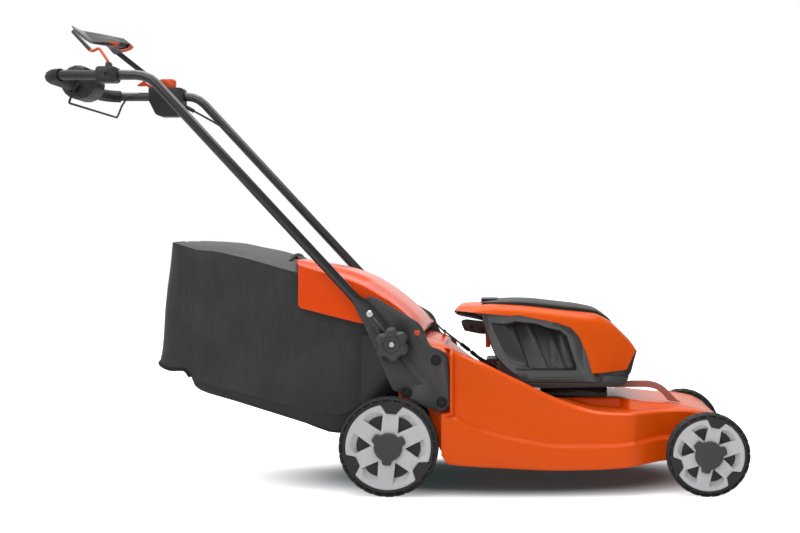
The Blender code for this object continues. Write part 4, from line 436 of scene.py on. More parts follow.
def baked(piece):
    """Apply a piece's modifiers into a plain mesh."""
    graph = bpy.context.evaluated_depsgraph_get()
    mesh = bpy.data.meshes.new_from_object(piece.evaluated_get(graph))
    piece.modifiers.clear()
    old = piece.data
    piece.data = mesh
    bpy.data.meshes.remove(old)
    mesh.validate()
    return piece


def carve(piece, bm, operation="DIFFERENCE"):
    """Cut a shape out of a piece, or join it on."""
    tool = finished("tool", bm, piece.data.materials[0])
    step = piece.modifiers.new("cut", "BOOLEAN")
    step.operation = operation
    step.solver = "EXACT"
    step.object = tool
    baked(piece)
    bpy.data.objects.remove(tool)


def softened(piece, width, segments=2, smooth=35):
    """Round a piece's sharp edges."""
    cut = piece.modifiers.new("edge", "BEVEL")
    cut.width = width
    cut.segments = segments
    cut.limit_method = "ANGLE"
    cut.angle_limit = math.radians(32)
    cut.harden_normals = True
    creased(baked(piece), smooth)


def walled(piece, thickness, offset=-1.0):
    """Give an open skin its wall, inwards from the drawn face."""
    wall = piece.modifiers.new("wall", "SOLIDIFY")
    wall.thickness = thickness
    wall.offset = offset
    return baked(piece)


def fitted(piece, node):
    """Let a small piece ride with the node that carries it."""
    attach(piece, frame["nodes"][node]["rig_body"])


def instead(piece, *nodes):
    """Put a finished piece in the place of CAD nodes, on the first one's body."""
    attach(piece, frame["nodes"][nodes[0]]["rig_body"])
    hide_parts(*nodes)
    DONE.update(nodes)
    return piece


def copied(node, material, flatten=0.6, smooth=35):
    """A clean copy of a rigid node, ready for more shaping."""
    bm = bmesh.new()
    bm.from_mesh(frame["nodes"][node].data)
    bmesh.ops.remove_doubles(bm, verts=bm.verts, dist=2e-5)
    if flatten:
        bmesh.ops.dissolve_limit(bm, angle_limit=math.radians(flatten), verts=bm.verts, edges=bm.edges)
    return finished(node + "_finish", bm, material, smooth=smooth, shift=False)


def dressed(node, material, bevel=0.001, segments=2, smooth=35):
    """A copy of a rigid node with its edges rounded, in the node's place."""
    piece = copied(node, material, smooth=smooth)
    if bevel:
        softened(piece, bevel, segments, smooth)
    return instead(piece, node)


# ---- what repeats ----

def growing(name, **kinds):
    """An empty geometry tree with named inputs, and the sockets of those inputs."""
    tree = bpy.data.node_groups.new(name, "GeometryNodeTree")
    for label, kind in (("Geometry", "Geometry"), *kinds.items()):
        tree.interface.new_socket(label, in_out="INPUT", socket_type="NodeSocket" + kind)
    tree.interface.new_socket("Geometry", in_out="OUTPUT", socket_type="NodeSocketGeometry")
    return tree, add(tree, "NodeGroupInput").outputs


def ending(tree, instances, given, weld=None):
    """Close a tree: real mesh from its instances, welded if asked, in its material."""
    shape = add(tree, "GeometryNodeRealizeInstances", {"Geometry": instances.outputs["Instances"]})
    if weld:
        shape = add(tree, "GeometryNodeMergeByDistance", {"Geometry": shape.outputs["Geometry"],
                                                          "Distance": weld})
    coat = add(tree, "GeometryNodeSetMaterial", {"Geometry": shape.outputs["Geometry"],
                                                 "Material": given["Finish"]})
    add(tree, "NodeGroupOutput", {"Geometry": coat.outputs["Geometry"]})
    return tree


def lug_tree():
    """One lug's share of a tyre, repeated round the axle and welded into a ring."""
    tree, given = growing("lugs_round_a_tyre", Lugs="Int", Axle="Vector", Finish="Material")
    spots = add(tree, "GeometryNodePoints", {"Count": given["Lugs"], "Position": given["Axle"]})
    count = add(tree, "GeometryNodeInputIndex")
    share = add(tree, "ShaderNodeMath", {0: count.outputs["Index"], 1: given["Lugs"]}, operation="DIVIDE")
    angle = add(tree, "ShaderNodeMath", {0: share.outputs[0], 1: 2 * math.pi}, operation="MULTIPLY")
    turn = add(tree, "FunctionNodeAxisAngleToRotation", {"Axis": (0, 1, 0), "Angle": angle.outputs[0]})
    lugs = add(tree, "GeometryNodeInstanceOnPoints", {"Points": spots.outputs[0], "Instance": given["Geometry"],
                                                      "Rotation": turn.outputs["Rotation"]})
    return ending(tree, lugs, given, 0.00002)


def screw_tree():
    """One screw set out at each corner of another mesh."""
    tree, given = growing("screws_at_places", Places="Object", Finish="Material")
    places = add(tree, "GeometryNodeObjectInfo", {"Object": given["Places"]})
    screws = add(tree, "GeometryNodeInstanceOnPoints", {"Points": places.outputs["Geometry"],
                                                        "Instance": given["Geometry"]})
    return ending(tree, screws, given)


def stitch_tree():
    """Straight stitches of five-sided thread, one to a pitch along a line of edges."""
    tree, given = growing("stitches_along_a_line", Pitch="Float", Length="Float", Radius="Float",
                          Finish="Material")
    line = add(tree, "GeometryNodeMeshToCurve", {"Mesh": given["Geometry"]})
    even = add(tree, "GeometryNodeResampleCurve", {"Curve": line.outputs["Curve"], "Length": given["Pitch"]},
               mode="LENGTH")
    way = add(tree, "GeometryNodeInputTangent")
    turn = add(tree, "FunctionNodeAlignRotationToVector", {"Vector": way.outputs["Tangent"]}, axis="Z")
    thread = add(tree, "GeometryNodeMeshCylinder", {"Vertices": 5, "Radius": given["Radius"],
                                                    "Depth": given["Length"]})
    sewn = add(tree, "GeometryNodeInstanceOnPoints", {"Points": even.outputs["Curve"],
                                                      "Instance": thread.outputs["Mesh"],
                                                      "Rotation": turn.outputs["Rotation"]})
    return ending(tree, sewn, given)


def grown(bm, tree, material, **sizes):
    """What a geometry tree makes of a shape, as a plain mesh."""
    seed = finished("seed", bm, material, shift=False)
    step = seed.modifiers.new("grow", "NODES")
    step.node_group = tree
    for socket in tree.interface.items_tree:
        if socket.in_out == "INPUT" and socket.name in {"Finish": material, **sizes}:
            step[socket.identifier] = {"Finish": material, **sizes}[socket.name]
    out = bmesh.new()
    out.from_mesh(baked(seed).data)
    bpy.data.objects.remove(seed)
    return out


LUGS = lug_tree()
SET_SCREWS = screw_tree()
STITCHES = stitch_tree()


# ---- wheels ----

# Where the tyres' outer faces are, where the rims' bays are in degrees, and for each axle its
# name, place, wheel radius, lugs and the angle at which its wheels stand.
TYRE_FACE = 0.295
NOTCHES = (90, 210, 330)
WHEELS = (("rear", 0.0, 0.1225, 28, -5.0), ("front", 0.784, 0.1025, 24, -12.5))


def lug_rings(radius, rim, lugs):
    """One lug's share of the rubber, as rings of (radius, depth) points at their angles.

    The shoulder has a pocket beside each rib, and the ribs of the two halves are offset.
    """
    rings = []
    for part in (-0.10, 0.10, 0.13, 0.37, 0.40, 0.60, 0.63, 0.87, 0.90):
        outer_rib = abs(part) <= 0.10 or part == 0.90
        rows = []
        for rib in (outer_rib, 0.40 <= part <= 0.60):
            dip = 0.0 if rib else 1.0
            cut = 1.0 if rib else 0.0
            rows.append([(rim + 0.0003, 0.0045), (rim + 0.0012, 0.0030), (rim + 0.0016, 0.0009),
                         (0.880 * radius, 0.0001), (0.904 * radius, 0.0002),
                         (0.908 * radius, 0.0006 + 0.0040 * dip), (0.950 * radius, 0.0012 + 0.0050 * dip),
                         (0.954 * radius, 0.0019), (0.984 * radius, 0.0040),
                         (radius - 0.0024 * cut, 0.0078), (radius - 0.0028 * cut, 0.0150),
                         (radius, 0.0168), (radius, 0.0210)])
        near, far = rows
        rings.append((360 * part / lugs, near + [(r, 0.044 - d) for r, d in far[::-1]]))
    return rings


def notch_outline(radius, angle, gap, flare):
    """The three-sided bay where the tyre locks into the rim."""
    along = polar(1, angle)
    across = Vector((-along.y, along.x))
    corners = [(0.900, -0.305), (0.862, -0.262 if flare else -0.250), (0.815, -0.216), (0.665, -0.100),
               (0.665, 0.100), (0.815, 0.216), (0.862, 0.262 if flare else 0.250), (0.900, 0.305)]
    spots = []
    for depth, offset in corners:
        inward = (abs(offset) * radius - gap) / (abs(offset) * radius)
        spot = along * (depth * radius + gap) + across * offset * radius * inward
        spots.append((spot.x, spot.y, 0.05 * radius if depth < 0.9 else 0))
    return rounded(spots, 4)


def window_outlines(radius, k):
    """The face and floor outlines of one wedge window, in the wheel's own turn."""
    short = 0.640 if k % 2 else 0.705
    long = 0.705 if k % 2 else 0.640
    slope = 0.614
    face = [(0.335, 0, 0.012), (long, -slope * (long - 0.335), 0.018), (0.765, -0.06, 0.3),
            (0.765, 0.06, 0.3), (short, slope * (short - 0.335), 0.018)]
    floor = [(0.335, 0, 0.012), (0.596, -0.158, 0.018), (0.625, -0.05, 0.3), (0.625, 0.05, 0.3),
             (0.596, 0.158, 0.018)]
    return [rounded([(x * radius, z * radius, r * radius) for x, z, r in loop], 4) for loop in (face, floor)]


def spun(points, degrees, x, z):
    """Flat points turned round the wheel's middle and moved to its axle."""
    turn = math.radians(degrees)
    return [(x + px * math.cos(turn) - pz * math.sin(turn), z + px * math.sin(turn) + pz * math.cos(turn))
            for px, pz in points]


def cap_outline(grow=0.0):
    """The hub cap's outline: a disc with three broad tabs."""
    out = []
    for k in range(120):
        angle = 3 * k
        off = abs((angle - 30 + 60) % 120 - 60)
        t = min(1.0, max(0.0, (22.0 - off) / 11.0))
        out.append(tuple(polar(0.0345 + grow + 0.0095 * t * t * (3 - 2 * t), angle)))
    return out


def tyre(name, side, x, radius, rim_edge, lugs, turn):
    """The lugged tyre with the three keys that fill the rim's bays."""

    loops = []
    for angle, row in lug_rings(radius, rim_edge, lugs):
        spots = [(polar(r, angle + turn), d) for r, d in row]
        loops.append([(spot.x, side * (TYRE_FACE - d), spot.y) for spot, d in spots])
    rubber = grown(loft(loops, caps=False), LUGS, RUBBER, Lugs=lugs, Axle=(x, 0.0, radius))
    bmesh.ops.recalc_face_normals(rubber, faces=rubber.faces)
    keys = []
    for angle in NOTCHES:
        line = notch_outline(radius, angle + turn, 0.0011, False)
        small = [tuple(Vector(p) * 0.996) for p in line]
        keys.append(loft([[(x + px, side * (TYRE_FACE - d), radius + pz) for px, pz in loop]
                          for loop, d in ((line, 0.0130), (line, 0.0012), (small, 0.0004))]))
    instead(finished(name + "_rubber", merged(rubber, *keys), RUBBER, smooth=38), name + "_tyre")


def rim(name, side, x, radius, rim_edge, turn):
    """The silver disc with its hub, six wedge windows and three bays."""
    face = [(0.0150, 0.0024), (0.47 * radius, 0.0026), (0.70 * radius, 0.0022), (rim_edge - 0.0075, 0.0016),
            (rim_edge - 0.0055, 0.0008), (rim_edge - 0.0018, 0.0008), (rim_edge, 0.0020),
            (rim_edge, 0.0420), (rim_edge - 0.0040, 0.0420), (rim_edge - 0.0040, 0.0142),
            (0.0230, 0.0142), (0.0190, 0.0480), (0.0150, 0.0480)]
    disc = turned(face, x, radius, 96, side * TYRE_FACE, -side, closed=True)
    piece = finished(name + "_silver", disc, RIM, smooth=30)
    tools = []
    for k in range(6):
        outer, floor = (spun(loop, 60 * k + turn, x, radius) for loop in window_outlines(radius, k))
        tools.append(loft([[(px, side * (TYRE_FACE - depth), pz) for px, pz in loop]
                           for loop, depth in ((outer, -0.002), (outer, 0.0035), (floor, 0.0160))]))
    for angle in NOTCHES:
        line = [(x + px, radius + pz) for px, pz in notch_outline(radius, angle + turn, 0.0, True)]
        tools.append(prism(line, side * (TYRE_FACE + 0.002), side * (TYRE_FACE - 0.0132)))
    carve(piece, merged(*tools))
    softened(piece, 0.0006, 2, 30)
    instead(piece, name + "_rim")


def hub_cap(name, side, x, radius, turn):
    """The domed cap, and the black back that shows through the windows."""
    line = cap_outline()
    inner = cap_outline(-0.0012)
    rings = [(line, 1.0, 0.0022), (line, 1.0, -0.0030), (inner, 1.0, -0.0044), (inner, 0.90, -0.0052),
             (inner, 0.55, -0.0056), (inner, 0.15, -0.0058)]
    cap = loft([[(x + px * size, side * (TYRE_FACE - depth), radius + pz * size)
                 for px, pz in spun(loop, turn, 0, 0)] for loop, size, depth in rings])
    back = turned([(0.021, 0.0150), (0.80 * radius, 0.0150), (0.80 * radius, 0.0166), (0.021, 0.0166)],
                  x, radius, 48, side * TYRE_FACE, -side, closed=True)
    instead(finished(name + "_cap", cap, PLASTIC, smooth=35), name + "_hub_cap")
    fitted(finished(name + "_cover", back, TRAY_PP), name + "_rim")


for label, x, radius, lugs, turn in WHEELS:
    rim_edge = 0.855 * radius
    for side, hand in ((-1, "_right"), (1, "_left")):
        tyre(label + hand, side, x, radius, rim_edge, lugs, turn)
        rim(label + hand, side, x, radius, rim_edge, turn)
        hub_cap(label + hand, side, x, radius, turn)


# ---- handle brackets and knobs ----

# Places on the side plate as (x, z), and the radius of the knob's arc round the pivot.
PIVOT = (-0.0489, 0.4466)
KNOB_ARC = 0.0936
FLAP_PIN = (0.0673, 0.3996)
PLATE_INNER = 0.2325
PLATE_OUTER = 0.2445
SCREWS = ((0.1146, 0.3308), (0.0416, 0.2500), (0.1289, 0.2262))


def knob_shape(side, x, z):
    """A six-lobed knob with a dished face and a raised ring."""
    rings = []
    for radius, y, depth in ((0.0300, 0.2583, 0.003), (0.0400, 0.2605, 0.007), (0.0428, 0.2640, 0.0075),
                             (0.0430, 0.2790, 0.0075), (0.0415, 0.2855, 0.0075), (0.0370, 0.2896, 0.0070),
                             (0.0300, 0.2912, 0.0040), (0.0235, 0.2898, 0.0010), (0.0222, 0.2912, 0.0),
                             (0.0205, 0.2914, 0.0), (0.0190, 0.2890, 0.0), (0.0110, 0.2884, 0.0),
                             (0.0100, 0.2868, 0.0), (0.0015, 0.2866, 0.0)):
        loop = []
        for k in range(120):
            angle = 3 * k
            gap = (1 - math.cos(math.radians(6 * (angle - 35)))) / 2
            spot = polar(radius - depth * gap ** 1.9, angle)
            loop.append((x + spot.x, side * y, z + spot.y))
        rings.append(loop)
    return loft(rings)


# The plate's outline, each corner with its rounding.
BRACKET = [(-0.0562, 0.4873, 0.004), (-0.0455, 0.4886, 0.004), (-0.0307, 0.4832, 0.004),
           (0.0015, 0.4644, 0), (0.0391, 0.4429, 0), (0.0660, 0.4268, 0.008), (0.0767, 0.4161, 0.006),
           (0.0826, 0.4054, 0), (0.0902, 0.3839, 0), (0.0969, 0.3704, 0.008), (0.1036, 0.3637, 0.006),
           (0.1224, 0.3570, 0), (0.1398, 0.3463, 0.004), (0.1433, 0.3355, 0.006), (0.1492, 0.2577, 0),
           (0.1487, 0.2200, 0.006), (0.1452, 0.2107, 0.006), (0.1318, 0.2039, 0.006),
           (0.1197, 0.2039, 0.006), (0.0928, 0.2120, 0.01), (0.0606, 0.2281, 0), (0.0391, 0.2429, 0.01),
           (0.0069, 0.2577, 0.006), (-0.0038, 0.2791, 0.006), (-0.0280, 0.3355, 0), (-0.0441, 0.3731, 0),
           (-0.0629, 0.4161, 0), (-0.0763, 0.4403, 0), (-0.0857, 0.4590, 0.003), (-0.0884, 0.4697, 0.003)]


def bracket_cuts(side):
    """The screw cups, the knob's arc slot and the two bores of a side plate."""
    face = side * PLATE_OUTER
    cups = [turned([(0.0148, -0.001), (0.0136, 0.0006), (0.0128, 0.0068)], x, z, 40, face, -side)
            for x, z in SCREWS]
    arc = [Vector(PIVOT) + polar(KNOB_ARC + 0.0050, -36.5 - 55.5 * k / 14) for k in range(15)]
    arc += [Vector(PIVOT) + polar(KNOB_ARC - 0.0050, -92.0 + 55.5 * k / 14) for k in range(15)]
    slot = prism([tuple(v) for v in arc], side * 0.228, side * 0.249)
    bores = [turned([(r, 0.228), (r, 0.249)], x, z, 24, 0, side)
             for r, x, z in ((0.0043, *PIVOT), (0.0034, *FLAP_PIN))]
    return merged(*cups, *bores, slot)


def bracket_channel(side, kx, kz):
    """The stepped channel that runs on from the pivot past the knob."""
    along = (Vector((kx, kz)) - Vector(PIVOT)).normalized()
    across = Vector((-along.y, along.x))
    rings = []
    for reach, wide, deep in ((0.0960, 0.0118, 0.0062), (0.1400, 0.0118, 0.0062), (0.1600, 0.0118, 0.0034),
                              (0.2050, 0.0112, 0.0034), (0.2150, 0.0085, 0.0034), (0.2190, 0.0040, 0.0034)):
        middle = Vector(PIVOT) + along * reach
        corners = [(middle + across * w, d) for w, d in ((-wide - 0.0008, -0.002), (-wide, deep),
                                                         (wide, deep), (wide + 0.0008, -0.002))]
        rings.append([(spot.x, side * PLATE_OUTER - side * d, spot.y) for spot, d in corners])
    return loft(rings)


def side_plate(side, label, kx, kz):
    """One side plate with bosses behind it, and its three sunk screws in black cups that paint the pockets'
    shade.
    """
    plate = finished("side_plate_" + label, prism(rounded(BRACKET, 3), side * PLATE_INNER, side * PLATE_OUTER),
                     PLASTIC)
    bosses = [turned([(0.010, 0.2195), (0.010, 0.2335)], x, z, 20, 0, side) for x, z in SCREWS]
    carve(plate, merged(*bosses), "UNION")
    carve(plate, bracket_cuts(side))
    carve(plate, bracket_channel(side, kx, kz))
    softened(plate, 0.0008, 2)
    instead(plate, "handle_bracket_" + label)
    head = [(0.0075, 0.0068), (0.0075, 0.0042), (0.0066, 0.0030), (0.0036, 0.0030), (0.0032, 0.0050),
            (0.0005, 0.0050)]
    # A black cup lines each screw pocket's floor and wall: painted shade in the pocket.
    pocket_shade_cup = [(0.0129, 0.0070), (0.0129, 0.0022), (0.0121, 0.0022), (0.0117, 0.0062), (0.0008, 0.0062)]
    screw = merged(*(turned(line, 0, 0, steps, 0, -side) for line, steps in ((head, 24), (pocket_shade_cup, 32))))
    corners = bmesh.new()
    for x, z in SCREWS:
        corners.verts.new((x, side * PLATE_OUTER, z))
    places = finished("screw_places", corners, SCREW_AND_POCKET_SHADE, shift=False)
    screw_heads_and_shade_cups = grown(screw, SET_SCREWS, SCREW_AND_POCKET_SHADE, Places=places)
    bpy.data.objects.remove(places)
    fitted(finished("bracket_screws_" + label, screw_heads_and_shade_cups, SCREW_AND_POCKET_SHADE), "handle_bracket_" + label)


def pin_cap(side, label):
    """The orange heart-shaped cap on the flap pin's end."""
    x, z = FLAP_PIN
    heart = rounded([(x + dx, z + dz, r) for dx, dz, r in
                     ((-0.0085, 0.0060, 0.006), (0.0085, 0.0060, 0.006), (0.0070, -0.0045, 0.006),
                      (0.0, -0.0090, 0.003), (-0.0070, -0.0045, 0.006))], 4)
    boss = prism(heart, side * (PLATE_OUTER - 0.001), side * (PLATE_OUTER + 0.0016), -0.06)
    cap = finished("flap_pin_cap_" + label, boss, KEY_ABS)
    softened(cap, 0.0006)
    fitted(cap, "flap_pin")


def clamp_knob(side, label, kx, kz):
    """A knob with its stud, and the bolt head in its dished face."""
    stud = turned([(0.0080, 0.2278), (0.0080, 0.2320), (0.0040, 0.2322), (0.0040, 0.2590), (0.0005, 0.2590)],
                  kx, kz, 18, 0, side)
    grip = merged(knob_shape(side, kx, kz), stud)
    instead(finished("knob_" + label, grip, PLASTIC, smooth=30), "handle_knob_" + label)
    bolt = turned([(0.0070, 0.2866), (0.0070, 0.2895), (0.0060, 0.2906), (0.0034, 0.2906), (0.0030, 0.2884),
                   (0.0004, 0.2884)], kx, kz, 24, 0, side)
    fitted(finished("knob_bolt_" + label, bolt, ZINC, smooth=30), "handle_knob_" + label)


knob_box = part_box("handle_knob_right")
knob_x = (knob_box[0].x + knob_box[1].x) / 2 - AXLE_X
knob_z = (knob_box[0].z + knob_box[1].z) / 2
for side, label in ((-1, "right"), (1, "left")):
    side_plate(side, label, knob_x, knob_z)
    pin_cap(side, label)
    clamp_knob(side, label, knob_x, knob_z)


# ---- battery housing ----

# The scooped panel of each flank at its rim and on its floor.
PANEL = [(0.2486, 0.4190), (0.2833, 0.4174), (0.3021, 0.4199), (0.3084, 0.4237), (0.3651, 0.4174),
         (0.3903, 0.4080), (0.4217, 0.4017), (0.4406, 0.3859), (0.4501, 0.3544), (0.4595, 0.3261),
         (0.4658, 0.3072), (0.4640, 0.2985), (0.3399, 0.2985), (0.3147, 0.2990), (0.2960, 0.3200),
         (0.2740, 0.3600), (0.2560, 0.3980)]
PANEL_FLOOR = [(0.2760, 0.4130), (0.2890, 0.4125), (0.3030, 0.4145), (0.3100, 0.4180), (0.3640, 0.4125),
               (0.3880, 0.4035), (0.4180, 0.3975), (0.4345, 0.3840), (0.4440, 0.3530), (0.4535, 0.3250),
               (0.4585, 0.3090), (0.4560, 0.3040), (0.3600, 0.3040), (0.3450, 0.3070), (0.3300, 0.3260),
               (0.3110, 0.3630), (0.2900, 0.3950)]
HOUSING_HALF = 0.170
MOTOR_X = 0.467
GROOVES = (((0.3053, 0.4127), (0.3446, 0.3050)), ((0.3494, 0.4158), (0.3934, 0.3040)),
           ((0.4013, 0.4032), (0.4375, 0.3040)))


def housing_side(side):
    """What is cut from one flank: the scooped panel, its three slats and a low groove."""
    wall = side * HOUSING_HALF
    tools = [loft([[(x, wall + side * 0.002, z) for x, z in PANEL],
                   [(x, wall - side * 0.0005, z) for x, z in PANEL],
                   [(x, wall - side * 0.0105, z) for x, z in PANEL_FLOOR]])]
    ends = [Vector(a) for a, _ in GROOVES] + [Vector((0.4345, 0.3800))]
    feet = [Vector(b) for _, b in GROOVES] + [Vector((0.4570, 0.3060))]
    for k in range(3):
        inner = wall - side * 0.0100
        deep = wall - side * 0.0125
        near = [(ends[k].x, ends[k].y), (feet[k].x, feet[k].y)]
        away = [ends[k] + (ends[k + 1] - ends[k]) * 0.92, feet[k] + (feet[k + 1] - feet[k]) * 0.92]
        bm = bmesh.new()
        a, b = ((x, deep, z) for x, z in near)
        c, d = ((p.x, inner, p.y) for p in away)
        e, f = ((x, inner + side * 0.004, z) for x, z in near)
        g, h = ((p.x, inner + side * 0.004, p.y) for p in away)
        corners = [bm.verts.new(p) for p in (a, b, d, c, e, f, h, g)]
        for face in ((0, 1, 2, 3), (7, 6, 5, 4), (0, 4, 5, 1), (1, 5, 6, 2), (2, 6, 7, 3), (3, 7, 4, 0)):
            bm.faces.new([corners[i] for i in face])
        bmesh.ops.recalc_face_normals(bm, faces=bm.faces)
        tools.append(bm)
    for top, foot in GROOVES:
        across = (Vector(foot) - Vector(top)).orthogonal().normalized() * 0.0014
        line = [Vector(top) + across, Vector(top) - across, Vector(foot) - across, Vector(foot) + across]
        tools.append(prism([tuple(p) for p in line], wall - side * 0.0170, wall - side * 0.006))
    low = [(0.3525, 0.2800), (0.4850, 0.2812), (0.4850, 0.2824), (0.3525, 0.2812)]
    tools.append(prism(low, wall - side * 0.0012, wall + side * 0.002))
    return tools


# The hood's top, its edge against the lower half, the crease where its sides turn in towards the
# nose, and the lid as (x, half width, rise above the hood).
TOP_LINE = [(0.1530, 0.4500), (0.1538, 0.4550), (0.1570, 0.4600), (0.1640, 0.4636), (0.1760, 0.4655),
            (0.1950, 0.4662), (0.2189, 0.4662), (0.2403, 0.4660), (0.2720, 0.4650), (0.3265, 0.4622),
            (0.3850, 0.4560), (0.4444, 0.4492), (0.4840, 0.4455), (0.5150, 0.4415), (0.5350, 0.4325),
            (0.5542, 0.4205), (0.5800, 0.3965), (0.6020, 0.3745), (0.6165, 0.3545), (0.6255, 0.3350)]
SPLIT_LINE = [(0.130, 0.4490), (0.1657, 0.4475), (0.2956, 0.4365), (0.3204, 0.4382), (0.3700, 0.4276),
              (0.4163, 0.4187), (0.4517, 0.4063), (0.4732, 0.3815), (0.4910, 0.3390), (0.5049, 0.2901),
              (0.5937, 0.2972), (0.6400, 0.3860)]
HOOD_FOLD = [(0.2800, 0.5240), (0.3009, 0.5193), (0.3513, 0.5067), (0.4080, 0.4879), (0.4394, 0.4469),
             (0.4800, 0.3950)]
LID_EDGE = [(0.2190, 0.050, 0.0020), (0.2240, 0.088, 0.0026), (0.2300, 0.104, 0.0034),
            (0.2480, 0.117, 0.0058), (0.2720, 0.122, 0.0085), (0.3100, 0.124, 0.0116),
            (0.3748, 0.124, 0.0142), (0.4486, 0.121, 0.0143), (0.4969, 0.115, 0.0108),
            (0.5250, 0.107, 0.0078), (0.5420, 0.097, 0.0055), (0.5540, 0.080, 0.0036),
            (0.5600, 0.056, 0.0022)]


def hood_form(wall=0.0):
    """The upper half of the housing as one smooth solid, or the hollow inside it."""
    top = smooth_curve(TOP_LINE)
    fold = smooth_curve(HOOD_FOLD)
    rings = []
    first, last = 0.1534 + wall * 1.5, 0.6251 - wall * 1.5
    count = 84
    for k in range(count + 1):
        t = k / count
        x = first + (last - first) * (0.5 - 0.5 * math.cos(math.pi * t))
        high = top(x) - wall
        low = 0.2850 if x > 0.2300 else 0.4180
        if x > 0.5937:
            low = 0.2972 + (x - 0.5937) * 1.12
        tail = 0.90 + 0.10 * ramped(x, 0.15, 0.24)
        ends = min(1.0, math.sqrt(max(0.0, min(x - 0.1528, 0.6260 - x)) / 0.010))
        trim = min(1.0, (high - low) / 0.060)
        drops = [(0.046, 0.0), (0.032, 0.0008), (0.021, 0.0026), (0.013, 0.0056), (0.0065, 0.0102),
                 (0.0025, 0.0160), (0.0, 0.0240)]
        side = []
        fall = 0.0065 * (1 - ramped(x, 0.200, 0.250)) + 0.0012
        for inward, drop in drops:
            y = HOUSING_HALF - wall - inward * trim
            side.append((y, high - drop * trim - fall * (y / 0.124) ** 2 * (1 if drop else 0.8)))
        for j in range(1, 9):
            side.append((HOUSING_HALF - wall, side[6][1] + (low - side[6][1]) * j / 8))
        ring = []
        for y, z in side:
            bend = max(0.0, x - fold(z)) / (0.6258 - fold(z))
            ring.append((y * tail * (1 - 0.27 * bend ** 1.15) * (0.86 + 0.14 * ends), z))
        rings.append([(x, -y, z) for y, z in ring] + [(x, y, z) for y, z in ring[::-1]])
    return loft(rings)


def lid_form():
    """The domed gloss lid with a crease along its side and a lifting lip."""
    half = smooth_curve([(x, y) for x, y, _ in LID_EDGE])
    rise = smooth_curve([(x, z) for x, _, z in LID_EDGE])
    top = smooth_curve(TOP_LINE)
    rings = []
    for k in range(61):
        x = 0.2192 + 0.3406 * k / 60
        low = top(x) - 0.0008
        section = []
        for reach, climb in ((1.0, 0.0), (0.992, 0.50), (0.980, 0.60), (0.945, 0.68), (0.85, 0.78),
                             (0.66, 0.89), (0.38, 0.97), (0.12, 1.0)):
            section.append((half(x) * reach, low + (rise(x) + 0.0012) * climb))
        rings.append([(x, -y, z) for y, z in section] + [(x, y, z) for y, z in section[::-1]])
    body = loft(rings)
    lip = [(0.2185, 0.4738), (0.2200, 0.4750), (0.2590, 0.4750), (0.2640, 0.4735), (0.2640, 0.4690),
           (0.2480, 0.4660), (0.2310, 0.4640)]
    tab = prism(lip, -0.058, 0.058)
    return merged(body, tab)


def motor_ring(radius):
    """A flat ring round the motor's upright axis."""
    return [(MOTOR_X + polar(radius, 10 * k).x, polar(radius, 10 * k).y) for k in range(36)]


def neck():
    """The square collar between housing and deck, open for the motor, as a mesh."""
    outer = rounded([(x, y, 0.020) for x, y in ((0.376, -0.105), (0.548, -0.105), (0.548, 0.105),
                                                (0.376, 0.105))], 4)
    collar = finished("neck", loft([[(x, y, z) for x, y in outer] for z in (0.2256, 0.2360)]), HOUSING_PP)
    carve(collar, loft([[(x, y, z) for x, y in motor_ring(0.070)] for z in (0.220, 0.240)]))
    bm = bmesh.new()
    bm.from_mesh(collar.data)
    bmesh.ops.translate(bm, verts=bm.verts, vec=(-AXLE_X, 0, 0))
    bpy.data.objects.remove(collar)
    return bm


def lower_housing():
    """The black lower half with its panels, tail strip, collar, belly and rear foot."""
    base = copied("housing_base", HOUSING_PP)
    for side in (-1, 1):
        for tool in housing_side(side):
            carve(base, tool)
    tail = [(0.1545, 0.4478), (0.1590, 0.4405), (0.1706, 0.4358), (0.1990, 0.4302), (0.2272, 0.4238),
            (0.2345, 0.4220), (0.2345, 0.4410), (0.1657, 0.4472)]
    belly = [(0.2604, 0.3120, 0), (0.2700, 0.2900, 0), (0.2860, 0.2720, 0.004), (0.3200, 0.2590, 0.010),
             (0.3810, 0.2530, 0.010), (0.5480, 0.2563, 0), (0.5830, 0.2590, 0.004), (0.5935, 0.2700, 0.004),
             (0.5980, 0.2830, 0), (0.4000, 0.2860, 0), (0.3000, 0.3200, 0)]
    foot = [(0.2330, 0.3150), (0.2360, 0.3180), (0.2900, 0.3180), (0.2900, 0.2760), (0.2450, 0.2900)]
    carve(base, prism(tail, -0.151, 0.151), "UNION")
    carve(base, neck(), "UNION")
    carve(base, prism(rounded(belly, 3), -0.1640, 0.1640), "UNION")
    carve(base, prism(foot, -0.055, 0.055), "UNION")
    softened(base, 0.0009, 2)
    instead(base, "housing_base")


def key_and_holder():
    """The holder under the tail, with its well and slot, and the pull-out key."""
    block = [(0.1689, 0.4190, 0.003), (0.1809, 0.4218, 0.003), (0.2228, 0.4170, 0), (0.2385, 0.4160, 0),
             (0.2385, 0.3860, 0), (0.2292, 0.3851, 0.003), (0.2148, 0.3863, 0.003), (0.1781, 0.3938, 0.004),
             (0.1717, 0.4082, 0.004)]
    holder = finished("key_block", prism(rounded(block, 3), -0.085, -0.045), HOUSING_PP)
    well = turned([(0.0040, -0.001), (0.0034, 0.0100)], 0.1957, 0.4050, 20, -0.085, 1)
    slot = [(0.2145, 0.3800), (0.2460, 0.3800), (0.2460, 0.3925), (0.2215, 0.3925), (0.2215, 0.4110),
            (0.2145, 0.4110)]
    carve(holder, merged(well, prism(slot, -0.0728, -0.0572)))
    softened(holder, 0.0012, 2)
    instead(holder, "key_holder")
    grip = [(0.2165, 0.4090, 0), (0.2195, 0.4090, 0), (0.2212, 0.3915, 0), (0.2420, 0.3900, 0.003),
            (0.2445, 0.3690, 0.004), (0.2440, 0.3495, 0.0015), (0.2325, 0.3495, 0.0015),
            (0.2318, 0.3875, 0.001), (0.2165, 0.3880, 0)]
    key = finished("pull_key", prism(rounded(grip, 3), -0.0720, -0.0580), KEY_ABS)
    softened(key, 0.0006, 2)
    instead(key, "safety_key")


